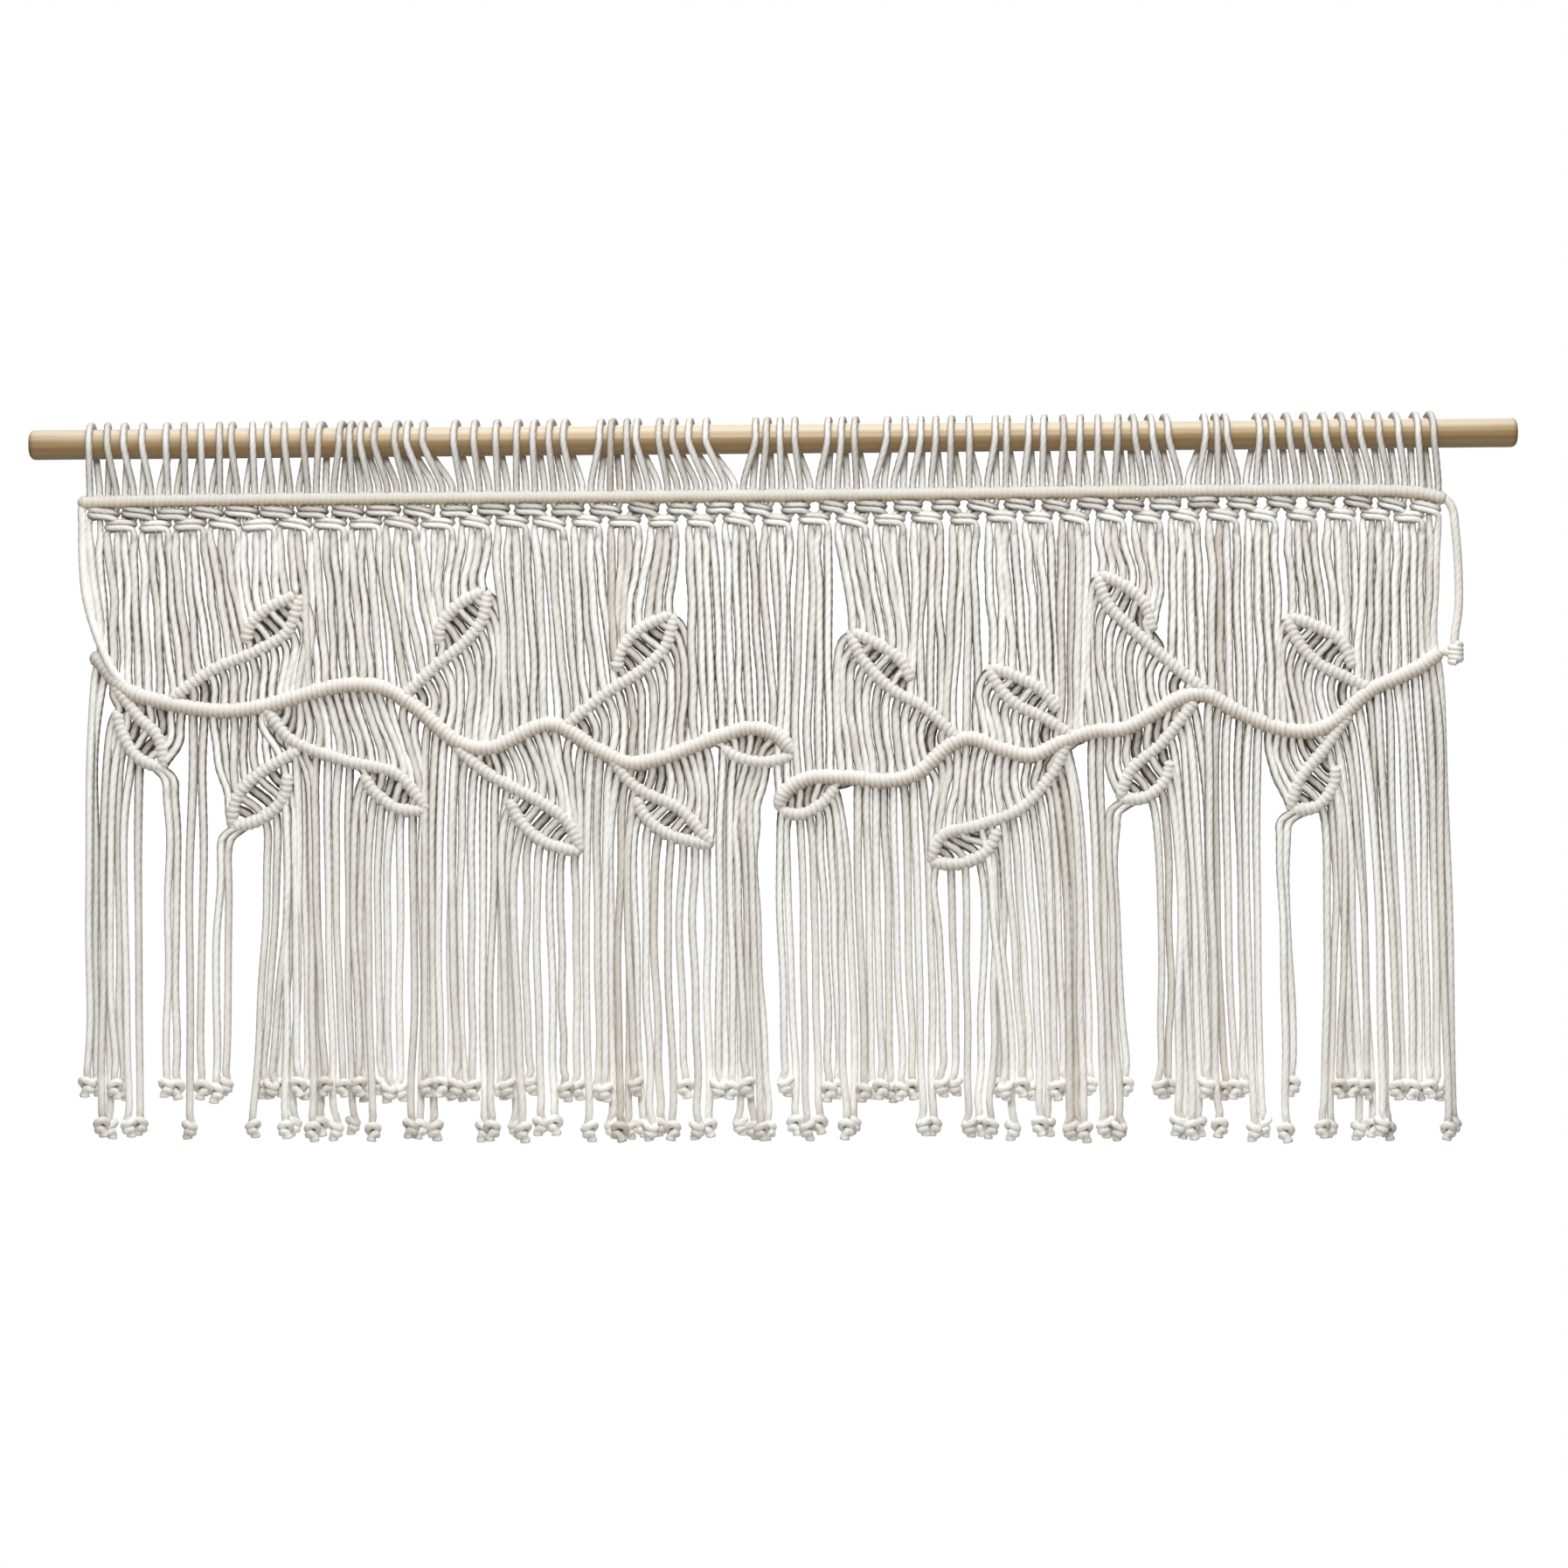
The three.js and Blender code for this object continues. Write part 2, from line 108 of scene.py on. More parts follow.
# Wraps: their pitch, how deep their grooves are and how dark the painted shade in them is, where the painted
# shade of the lower half begins, from -1 at the top to 1 at the foot, and how dark the painted shade on the
# lower half and the underside is
HEADER_WRAP = {"pitch": 4.1, "depth": 0.12, "shade": 0.3, "shade_from": -0.2, "under": (0.32, 0.45)}
VINE_WRAP = {"pitch": 3.9, "depth": 0.13, "shade": 0.45, "shade_from": -0.25, "under": (0.2, 0.3)}
LEAF_WRAP = {"pitch": 4.4, "depth": 0.2, "shade": 0.5, "shade_from": -0.3, "under": (0.0, 0.0)}
SHADE_REACH = 0.5
UNDERSIDE_FROM = 0.2
GROOVE_SHADE_LEAST = 0.3
WRAP_SLANT = 0.3
WRAP_SLANT_STRAY = 0.4
WRAP_SHARPNESS = 0.7
WRAP_UNEVENNESS = 0.025
TIP_TAPER = 10
TIP_SLIMNESS = 0.7

# Square knots under the header, in two rows: the ways of the left and the right cord round the two in the
# middle, as [share of the half width, y, z], and where the right cord ends below the second row
ROW_TOPS = (-49.5, -58)
KNOT_HALF_WIDTH = ([-260, -100], [9.8, 8.5])
KNOT_UNEVENNESS = {"width": 0.08, "tilt": 0.15, "drop": 0.9}
KNOT_CORE = 2.6
KNOT_HEIGHT = 5
LEFT_KNOT_WAY = [
    [-1.0, -0.3, 1.2], [-0.6, -3.4, 0.6], [0.2, -4.2, -0.1], [0.8, -3.0, -0.9], [1.1, 0.4, -1.9],
    [0.6, 3.4, -2.9], [-0.3, 4.0, -3.7], [-0.9, 2.4, -4.6], [-1.1, 0.8, -6.2],
]
RIGHT_KNOT_WAY = [
    [1.0, 0.6, 0.8], [0.6, 3.4, 0.2], [-0.2, 4.2, -0.4], [-0.85, 2.8, -1.2], [-1.12, -0.4, -2.4],
    [-0.65, -3.7, -3.4], [0.05, -4.8, -4.0], [0.62, -4.8, -4.8], [0.98, -3.8, -6.2],
]
KNOT_ARCH_END = [1.08, -3.0, -9.5]
# How far above and below the header's middle a strand runs straight, and where the knots end
HEADER_HOLD = 3
FOOT_Z = -73

# Strands on their way from bar to bar
LEAVING_SQUARENESS = 0.85
ARRIVING_SQUARENESS = ([25, 80], [0.75, 0.15])
HANDLE_SHARE = 0.42
SPAN_HANDLE = 20
SPAN_STEP = 6
SPAN_LEAST_STEPS = 5
TAIL_HANDLE = 18
SWAY = (1.0, 0.9)
SWAY_WAVES = 7
SWAY_FADING = 0.85
SWAY_FULL_LENGTH = 110
STRAND_STAGGER = 1.2
STRAND_SETBACK = 1.2

# How dark a cord's flanks are, where its neighbours keep the light out, from the net to the fringe, and
# how far round the flanks reach, in the open and close below a bar
FLANK_SHADE = (
    [-470, -460, -345, -250, -95, -80, -66, -25, -10], [0.0, 0.3, 0.5, 1.0, 1.0, 0.85, 0.5, 0.75, 0.4],
)
FLANK_FACING = [(0.44, 0.81), (0.58, 0.92)]

# How dark a strand is just below a bar, between which depths the shade fades, and how much of it is left
# on the backs of the cords
BAR_SHADOW = 0.2
BAR_SHADOW_REACH = (6, 18)
HEADER_SHADOW = 0.3
HEADER_SHADOW_REACH = (5, 17)
BACK_SHADOW = 0.3

# How near two bars are that make an eye. Every other strand in it is set back, fuller and painted darker, as
# the shade inside the eye
EYE_REACH = 32
EYE_SHADOW = (0.15, 0.42)
EYE_SETBACK = 3.0
EYE_FULLNESS = 1.2

# Fringe
TAIL_STAGGER = 4.5
TAIL_STRAY = 2
TAIL_SPACING = 5.0
TAIL_EVENNESS = 0.22
TAIL_SWING = 11
HEM_HALF_WIDTH = 515
HEM_LEVELS = [-479, -508]
HEM_SLOPE = -0.0087
HEM_UNEVENNESS = 2.6
HEM_DISORDER = 0.2
TAIL_NECK = 9.5
END_FLARE = 1.3
END_KNOT_SIZE = (1.15, 1.36)
END_KNOT_TURN = 0.8
END_KNOT_CORD_RADIUS = 2.85
END_KNOT_WAY = [
    [0.2, 0.8, 5.0], [0.9, 2.2, 1.5], [2.9, 0.5, -0.8], [1.6, -2.9, 0.5], [-1.1, -3.2, 2.2],
    [-3.1, -0.2, 1.5], [-1.6, 2.7, -1.3], [1.1, 2.2, -3.2], [2.0, -1.3, -3.8], [-0.2, -2.8, -2.3],
    [-1.3, -0.8, -4.5], [-1.5, 0.0, -7.2],
]

# Where the cords sit along the rod, in runs with even steps
LOOP_RUNS = [
    {"cords": 4, "from": -504, "to": -466},
    {"cords": 10, "from": -448, "to": -335},
    {"cords": 4, "from": -319, "to": -294},
    {"cords": 3, "from": -278, "to": -258},
    {"cords": 2, "from": -234, "to": -220},
    {"cords": 5, "from": -202, "to": -152},
    {"cords": 4, "from": -126, "to": -100},
    {"cords": 4, "from": -84, "to": -49},
    {"cords": 4, "from": -13, "to": 15},
    {"cords": 3, "from": 40, "to": 61},
    {"cords": 6, "from": 86, "to": 145},
    {"cords": 2, "from": 165, "to": 173},
    {"cords": 9, "from": 190, "to": 291},
    {"cords": 3, "from": 318, "to": 335},
    {"cords": 2, "from": 358, "to": 366},
    {"cords": 9, "from": 379, "to": 486},
]

# Centre lines of the header and the vines, from left to right, as [x, z]
HEADER_LINE = [[-515, -43], [-450, -42], [0, -42], [430, -42], [475, -44], [498, -49]]
# How far a cord sits from an even spread along the header, as [share of the length, distance]
HEADER_DRIFT = [
    [0, 0], [0.14, -7.5], [0.25, -11], [0.37, -9], [0.51, -3], [0.66, 1], [0.8, 0.5], [0.86, 4], [0.915, 9],
    [1, 2.5],
]
LEFT_VINE_LINE = [
    [-505, -154], [-481, -181], [-457, -190], [-411, -198], [-380, -195], [-320, -180], [-290, -182],
    [-268, -195], [-234, -223], [-212, -227], [-166, -210], [-132, -229], [-109, -239], [-86, -236],
    [-42, -220], [-19, -214], [0, -219], [14, -234],
]
RIGHT_VINE_LINE = [
    [1, -275], [6, -262], [22, -252], [52, -251], [79, -254], [103, -249], [130, -227], [143, -223],
    [166, -231], [189, -236], [212, -226], [234, -219], [257, -217], [279, -206], [298, -195], [317, -192],
    [340, -204], [370, -217], [392, -220], [410, -215], [440, -190], [462, -180], [478, -172], [493, -161.5],
]
# How far a strand sits from an even spread along each vine, as [share of the length, distance]
LEFT_VINE_DRIFT = [
    [0, -3], [0.1, 0], [0.16, 4], [0.26, 3], [0.34, -14], [0.44, -20], [0.48, -5], [0.545, -1], [0.6, -14],
    [0.675, -15], [0.7, -4], [0.8, -2], [0.88, -13], [0.96, -14], [1, -8],
]
RIGHT_VINE_DRIFT = [
    [0, 3], [0.04, 9], [0.1, 11], [0.16, 4], [0.23, 2], [0.29, 9], [0.36, 2], [0.43, 5], [0.48, 0],
    [0.53, -4], [0.64, 6], [0.72, 9], [0.8, -2], [0.88, 9], [0.96, 9], [1, 2],
]
LEFT_VINE_LAST_CORD = 37
FILLER_SHARE = 0.5

# Leaves: the centre lines of the stem and of the leaf's second edge, from left to right as [x, z], which
# share the tip, and the first and last cord that each of the two carries. Where the outermost strands hook
# round the tip before they hang, the side is given as -1 or 1. A trail is the bare end of an edge, in cords
LEAVES_ABOVE = [
    {"stem": [[-449, -190], [-415, -167], [-382, -153], [-361, -140], [-350, -111]], "cords": [4, 11],
     "edge": [[-392, -149], [-388, -135], [-376, -123], [-350, -111]], "edge_cords": [8, 11]},
    {"stem": [[-276, -189], [-250, -165], [-231, -150], [-217, -133], [-212, -109]], "cords": [17, 22],
     "edge": [[-249, -151], [-247, -136], [-234, -121], [-212, -109]], "edge_cords": [19, 22]},
    {"stem": [[-157, -212], [-125, -187], [-97, -169], [-81, -153], [-74, -128]], "cords": [26, 32],
     "edge": [[-118, -172], [-114, -156], [-100, -140], [-74, -128]], "edge_cords": [29, 32]},
    {"stem": [[54, -142], [64, -163], [86, -186], [110, -200], [135, -223]], "cords": [41, 47],
     "edge": [[54, -142], [77, -153], [93, -165], [101, -181]], "edge_cords": [41, 44]},
    {"stem": [[157, -169.5], [165, -185], [178, -198], [198, -208], [220, -222]], "cords": [49, 53],
     "edge": [[157, -169.5], [178, -177.5], [197, -188], [210, -204]], "edge_cords": [49, 52]},
    {"stem": [[238, -101], [246, -124], [262, -141], [292, -168], [320, -191]], "cords": [55, 60],
     "edge": [[238, -101], [259, -111], [274, -125], [279.5, -146]], "edge_cords": [55, 58]},
    {"stem": [[378, -134], [387, -154], [402, -170], [422, -180], [442, -190]], "cords": [65, 69],
     "edge": [[378, -134], [400, -142], [419, -154], [428, -174]], "edge_cords": [65, 68]},
]
LEAVES_BELOW = [
    {"stem": [[-491, -176], [-471, -202], [-457, -217], [-452, -241]], "cords": [1, 4],
     "edge": [[-488, -196], [-484, -213], [-473, -231], [-452, -241]], "edge_cords": [1, 4], "hook": 1},
    {"stem": [[-379, -194], [-359, -219], [-320, -235], [-280, -246], [-258, -273]], "cords": [9, 17],
     "edge": [[-306, -245], [-298, -258], [-281, -271], [-258, -273]], "edge_cords": [14, 17]},
    {"stem": [[-404, -285], [-399, -262], [-383, -245], [-352, -227]], "cords": [6, 9],
     "edge": [[-404, -285], [-380, -277], [-365, -263], [-361, -244]], "edge_cords": [6, 8], "hook": -1,
     "trail": 0.25},
    {"stem": [[-238, -225], [-213, -246], [-175, -267], [-155, -282], [-144, -305]], "cords": [20, 26],
     "edge": [[-198, -265], [-190, -281], [-172, -297], [-144, -305]], "edge_cords": [23, 26]},
    {"stem": [[-123, -234], [-105, -256], [-71, -274], [-47, -301]], "cords": [28, 33],
     "edge": [[-105, -264], [-97, -279], [-80, -292], [-47, -301]], "edge_cords": [30, 33]},
    {"stem": [[113, -315], [122, -295], [150, -287], [181, -275], [204, -250], [216, -226]],
     "cords": [46, 54],
     "edge": [[113, -315], [138, -315], [156, -306], [164, -290]], "edge_cords": [46, 48]},
    {"stem": [[253, -270], [263, -247], [285, -228], [311, -196]], "cords": [56, 60],
     "edge": [[253, -270], [274, -267], [288, -255], [292, -240]], "edge_cords": [56, 58], "hook": -1},
    {"stem": [[379, -279], [387, -256], [405, -234], [425, -206]], "cords": [64, 68],
     "edge": [[379, -279], [400, -275], [412, -261], [414, -245]], "edge_cords": [64, 66], "hook": -1},
]
VINE_END_LEAVES = [
    {"edge": [[-41, -228], [-27, -236], [-6, -239], [14, -234]], "edge_cords": [34, 37], "trail": 2},
    {"edge": [[1, -275], [18, -278], [34, -270], [45, -257]], "edge_cords": [38, 41], "trail": 0},
]

# How far beside and below the tip the hooked strands turn down, and how steeply they leave the edge
TIP_HOOKS = [(7, 12), (1.5, 14)]
HOOK_SLOPE = -0.6

# Where strands hang aside, behind a small leaf and past the tip of the right vine, as [strand, x, y, z]
HUNG_ASIDE = [
    [20, -355, 6, -236], [21, -351, 6, -238], [22, -347, 3, -246], [23, -342.5, 1.5, -248],
    [72, -30, 1.2, -280], [73, -25, 1.2, -280], [74, -20, 1.2, -281], [75, -15, 1.2, -282],
]

# The filler cords that come out of the header's ends, as [x, y, z] on their way
LEFT_FILLER_WAY = [
    [-498, 0, -42.5], [-508, 0, -43], [-511.5, -0.5, -47], [-511.5, -0.5, -58], [-511.5, -1, -80],
    [-509.5, -3, -108], [-505, -5, -128], [-497, -6, -151], [-489, -5, -168], [-480, 0, -180],
]
RIGHT_FILLER_WAY = [
    [486, 0, -46], [497, 0, -49], [502, 0, -56], [504, -0.5, -72], [506, 0, -100], [506, 0.5, -130],
    [503, 0, -150], [502.5, 0, -171],
]
RIGHT_VINE_TAIL_WAY = [[482, 0, -169], [493, 1, -162], [503.5, 1.5, -164]]
BARREL = {"x": 503.5, "top": -153.5, "foot": -172.5, "turns": 4, "radius": 3.6, "cord": 2.6}
FILLER_STEPS = 8
FILLER_RINGS = 64
BARREL_STEPS = 12
BARREL_RINGS = 110

# Cotton: the colours of its light and dark fibres and of the painted shade on its flanks, in its grooves,
# under the bars and on the bars' undersides. The wraps and the header are the same cotton as the strands,
# in darker copies that make up for the top lamp lighting the bars' upper sides more brightly
STRANDS_LOOK = {
    "light": (0.92, 0.91, 0.88), "dark": (0.62, 0.572, 0.505), "shade": (0.1, 0.08, 0.058),
    "groove_shade": 0.06, "bump": 0.3,
}
WRAPS_LOOK = {
    "light": (0.785, 0.78, 0.76), "dark": (0.685, 0.67, 0.625), "shade": (0.38, 0.24, 0.09),
    "groove_shade": 0.08, "bump": 0.35,
}
HEADER_LOOK = {
    "light": (0.705, 0.7, 0.67), "dark": (0.62, 0.605, 0.56), "shade": (0.62, 0.46, 0.25),
    "groove_shade": 0.08, "bump": 0.35,
}
COTTON_BUMP_DEPTH = 0.4
# How much blotches and fibres change the tint
MOTTLE_CONTRAST = 0.9
FIBRE_CONTRAST = 0.8

# Wood: its grain from dark to light, as [place on the ramp, colour], the painted light on its pale top and
# the painted shade on its warm underside
WOOD_GRAIN = [
    [0.1, (0.295, 0.195, 0.085, 1)], [0.5, (0.37, 0.258, 0.126, 1)], [0.9, (0.445, 0.322, 0.172, 1)],
]
WOOD_PAINTED_TOP_LIGHT = {"colour": (0.82, 0.76, 0.64, 1), "from": 2.5, "to": ROD_RADIUS, "most": 0.85}
WOOD_PAINTED_UNDERSIDE_SHADE = {"colour": (0.2, 0.105, 0.025, 1), "from": 3, "to": -3.5, "most": 0.55}
WOOD_GRAIN_STRETCH = (2.2, 75.0, 75.0)
WOOD_PORE_STRETCH = (28.0, 900.0, 900.0)
WOOD_BUMP_DEPTH = 0.25

# View
PICTURE_WIDTH = 1160.1
PICTURE_CENTRE = (5.8, -255.5)
PICTURE_ROLL = -0.4985
LENS = 100
SENSOR = 36

# Light, in metres and watts
FLOOR_Z = -1.9
FLOOR_HALF_WIDTH = 2.4
FLOOR_COLOUR = (0.86, 0.86, 0.85, 1)
FLOOR_GLOW = (0.62, 0.62, 0.61, 1)
STUDIO_COLOUR = (1, 0.94, 0.84, 1)
STUDIO_STRENGTH = 0.11
LIGHTS = [
    {"name": "top", "place": (0, -0.95, 1.75), "aim": (0, 0, -0.2), "size": 1.5, "power": 42},
    {"name": "front", "place": (-0.1, -2.7, 0.9), "aim": (0, 0, -0.25), "size": 1.0, "power": 50},
    {"name": "back", "place": (0.3, 2.7, 0.6), "aim": (0, 0, -0.25), "size": 1.6, "power": 70},
]


def smooth(points, steps):
    """A smooth way through the points: a centripetal Catmull-Rom spline with so many steps a span."""
    points = np.asarray(points, float)
    every = np.vstack([2 * points[0] - points[1], points, 2 * points[-1] - points[-2]])
    gaps = np.sqrt(np.linalg.norm(np.diff(every, axis=0), axis=1))[:, None]
    p0, p1, p2, p3 = every[:-3], every[1:-2], every[2:-1], every[3:]
    d0, d1, d2 = gaps[:-2], gaps[1:-1], gaps[2:]
    leave = ((p1 - p0) / d0 - (p2 - p0) / (d0 + d1) + (p2 - p1) / d1) * d1
    arrive = ((p2 - p1) / d1 - (p3 - p1) / (d1 + d2) + (p3 - p2) / d2) * d1
    t = (np.arange(steps) / steps)[None, :, None]
    p1, p2, leave, arrive = (part[:, None, :] for part in (p1, p2, leave, arrive))
    way = (
        (2 * t**3 - 3 * t**2 + 1) * p1 + (t**3 - 2 * t**2 + t) * leave
        + (3 * t**2 - 2 * t**3) * p2 + (t**3 - t**2) * arrive
    )
    return np.vstack([way.reshape(-1, points.shape[1]), points[-1]])


def unit(vectors):
    return vectors / np.linalg.norm(vectors, axis=-1, keepdims=True)


def lengths_along(points):
    return np.concatenate([[0], np.cumsum(np.linalg.norm(np.diff(points, axis=0), axis=1))])


class Line:
    """A smooth line in the plane of the curtain, measured by shares of its length."""

    def __init__(self, points, steps=24):
        self.points = smooth(points, steps)
        self.reach = lengths_along(self.points)

    def at(self, share):
        wanted = np.asarray(share) * self.reach[-1]
        return np.stack([np.interp(wanted, self.reach, self.points[:, axis]) for axis in (0, 1)], axis=-1)

    def along(self, share, step=0.01):
        share = np.asarray(share)
        return unit(self.at(np.minimum(share + step, 1)) - self.at(np.maximum(share - step, 0)))


class Skin:
    """Gathers closed tubes, each a stack of rings, into one mesh."""

    def __init__(self):
        self.points = []
        self.triangles = []
        self.uvs = []
        self.tints = []
        self.painted_shades = []
        self.count = 0

    def add(self, rings, across, along, tint, painted_shade):
        """across and along measure the cord's own surface at each ring's points, the seam twice."""
        length, sides = rings.shape[:2]
        number = self.count + np.arange(length * sides).reshape(length, sides)
        beside = np.roll(number, -1, axis=1)
        uv = np.stack([across, along], axis=-1)
        near, far = number[:-1], number[1:]
        self._faces([near, beside[:-1], beside[1:]], [uv[:-1, :-1], uv[:-1, 1:], uv[1:, 1:]])
        self._faces([near, beside[1:], far], [uv[:-1, :-1], uv[1:, 1:], uv[1:, :-1]])
        first = np.full(sides, self.count + length * sides)
        last = first + 1
        self._faces([first, beside[0], number[0]], [uv[0, :-1], uv[0, 1:], uv[0, :-1]])
        self._faces([last, number[-1], beside[-1]], [uv[-1, :-1], uv[-1, :-1], uv[-1, 1:]])
        self.points += [rings.reshape(-1, 3), rings[:1].mean(axis=1), rings[-1:].mean(axis=1)]
        self.tints.append(np.full(length * sides + 2, tint))
        self.painted_shades += [painted_shade.ravel(), np.zeros(2)]
        self.count += length * sides + 2

    def _faces(self, corners, corner_uvs):
        self.triangles.append(np.stack(corners, axis=-1).reshape(-1, 3))
        self.uvs.append(np.stack(corner_uvs, axis=-2).reshape(-1, 2))

    def piece(self, name, material):
        triangles = np.concatenate(self.triangles)
        mesh = bpy.data.meshes.new(name)
        mesh.vertices.add(self.count)
        mesh.vertices.foreach_set("co", (np.concatenate(self.points) * MM).ravel())
        mesh.loops.add(triangles.size)
        mesh.loops.foreach_set("vertex_index", triangles.ravel().astype(np.int32))
        mesh.polygons.add(len(triangles))
        mesh.polygons.foreach_set("loop_start", np.arange(0, triangles.size, 3, dtype=np.int32))
        mesh.polygons.foreach_set("use_smooth", np.ones(len(triangles), bool))
        mesh.update(calc_edges=True)
        layer = mesh.uv_layers.new(name="cord")
        layer.data.foreach_set("uv", np.concatenate(self.uvs).ravel())
        # Each point's tint and its painted shade: the flanks, grooves, undersides and shadows of the cords
        # and bars
        for label, values in (("tint", self.tints), ("painted_shade", self.painted_shades)):
            attribute = mesh.attributes.new(label, "FLOAT", "POINT")
            attribute.data.foreach_set("value", np.concatenate(values))
        mesh.validate()
        mesh.materials.append(material)
        thing = bpy.data.objects.new(name, mesh)
        bpy.context.scene.collection.objects.link(thing)
        return thing


def ring_places(way, count, fineness=None):
    """Spreads a count of rings along a way, closer together where fineness is higher."""
    weights = np.ones(len(way)) if fineness is None else fineness
    steps = np.linalg.norm(np.diff(way, axis=0), axis=1) * (weights[1:] + weights[:-1]) / 2
    reach = np.concatenate([[0], np.cumsum(steps)])
    wanted = np.linspace(0, reach[-1], count)
    return np.stack([np.interp(wanted, reach, way[:, axis]) for axis in range(3)], axis=-1)


def add_cords(skin, ways, radii, tints, crowded=(), open_sides=(), shadows=0.0):
    """Twisted cords of three plies: ways is cords x rings x 3, radii and shadows are cords x rings. Their
    flanks are painted with shade towards the crowded axes, and further round in the painted shadows of
    the bars, but not on the open sides, pairs of a cord and -1 or 1. The painted shadows fade towards the
    back."""
    ahead = unit(np.gradient(ways, axis=1))
    side = unit(np.cross(ahead[:, 0], ASKEW))
    sides = []
    for ring in range(ways.shape[1]):
        straight = np.sum(side * ahead[:, ring], axis=-1, keepdims=True)
        side = unit(side - straight * ahead[:, ring])
        sides.append(side)
    side = np.stack(sides, axis=1)
    up = np.cross(ahead, side)
    turn = 2 * np.pi * np.arange(CORD_SIDES) / CORD_SIDES
    ring, corner = np.meshgrid(np.arange(ways.shape[1]), np.arange(CORD_SIDES), indexing="ij")
    ply = np.where((corner - ring) % PLIES == 0, 1 - PLY_DEPTH, 1)
    out = np.cos(turn)[:, None] * side[:, :, None] + np.sin(turn)[:, None] * up[:, :, None]
    rings = ways[:, :, None] + (radii[:, :, None] * ply)[..., None] * out
    rows, columns = np.meshgrid(np.arange(ways.shape[1]), np.arange(CORD_SIDES + 1), indexing="ij")
    across = columns / CORD_SIDES
    along = rows * LAY * MM / CORD_SIDES
    facing = np.sqrt(1 - np.clip(np.sum(out[..., crowded] ** 2, axis=-1), 0, 1))
    shadows = np.broadcast_to(shadows, ways.shape[:2])[..., None]
    close = np.minimum(shadows / BAR_SHADOW, 1)
    dark, light = (low + (high - low) * close for low, high in zip(*FLANK_FACING))
    flank = np.clip((light - facing) / (light - dark), 0, 1)
    flank *= np.interp(ways[:, :, 2], *FLANK_SHADE)[..., None]
    for cord, way in open_sides:
        flank[cord][out[cord, ..., 0] * way > 0] = 0
    shaded = shadows * np.interp(out[..., 1], (0, 1), (1, BACK_SHADOW))
    for cord_rings, tint, painted_shade in zip(rings, tints, flank + shaded):
        skin.add(cord_rings, across, along, tint, painted_shade)


def add_bar(skin, line, radius, pitch, depth, shade, shade_from, under, tip=None):
    """A bar of close wraps: a ridged tube along a line with round ends, drawn out where it has a tip,
    which is at the start for 0 and at the end for 1."""
    length = line.reach[-1]
    wraps = max(3, round(length / pitch))
    stations = np.linspace(0, 1, wraps * WRAP_STEPS + 1)
    centre = line.at(stations)
    ahead = line.along(stations)
    turn = 2 * np.pi * np.arange(BAR_SIDES + 1) / BAR_SIDES
    slant = WRAP_SLANT * np.cos(turn + chance.uniform(-WRAP_SLANT_STRAY, WRAP_SLANT_STRAY))
    count = stations[:, None] * wraps + slant
    ridge = np.abs(np.sin(np.pi * count)) ** WRAP_SHARPNESS
    size = 1 + WRAP_UNEVENNESS * chance.normal(size=wraps + 4)
    fullness = size[np.clip(np.floor(count).astype(int) + 1, 0, wraps + 3)]
    from_end = np.minimum(stations, 1 - stations) * length
    cap = np.sqrt(np.clip(1 - (1 - np.minimum(from_end / radius, 1)) ** 2, BAR_END_LEAST, 1))
    if tip is not None:
        cap *= np.interp(np.abs(stations - tip) * length, [0, TIP_TAPER], [TIP_SLIMNESS, 1])
    out = radius * cap[:, None] * fullness * (1 - depth * (1 - ridge))
    normal = np.stack([
        np.sin(turn) * ahead[:, 1:], np.cos(turn) * -np.ones((len(stations), 1)),
        -np.sin(turn) * ahead[:, :1],
    ], axis=-1)
    middle = np.column_stack([centre[:, 0], np.zeros(len(stations)), centre[:, 1]])
    rings = (middle[:, None] + out[..., None] * normal)[:, :-1]
    across = count / 2
    along = np.broadcast_to(turn * radius * MM, count.shape)
    # Painted shade: darker in the grooves between the wraps, over the lower half and most on the underside
    down = -normal[..., 2]
    half = np.clip((down - shade_from) / SHADE_REACH, 0, 1)
    low = np.clip((down - UNDERSIDE_FROM) / (1 - UNDERSIDE_FROM), 0, 1) ** 2
    painted_shade = under[0] * half**2 * (3 - 2 * half) + under[1] * low
    painted_shade += shade * (1 - ridge) * (GROOVE_SHADE_LEAST + (1 - GROOVE_SHADE_LEAST) * half)
    skin.add(rings, across, along, chance.uniform(*BAR_TINT), painted_shade[:, :-1])


def loop_places():
    return np.concatenate([np.linspace(run["from"], run["to"], run["cords"]) for run in LOOP_RUNS])


def strand_shares(cords, lead=0.0, trail=0.0):
    """The strands of the first to the last cord and where they cross a bar, as shares of its length."""
    first, last = cords
    strands = np.arange(2 * first, 2 * last + 2)
    total = lead + last - first + 1 + trail
    return strands, (lead + (strands - 2 * first + 0.5) / 2) / total


def drifted(shares, line, drift):
    """Moves the shares of a line's length by the distances in a drift table."""
    return shares + np.interp(shares, *np.transpose(drift)) / line.reach[-1]


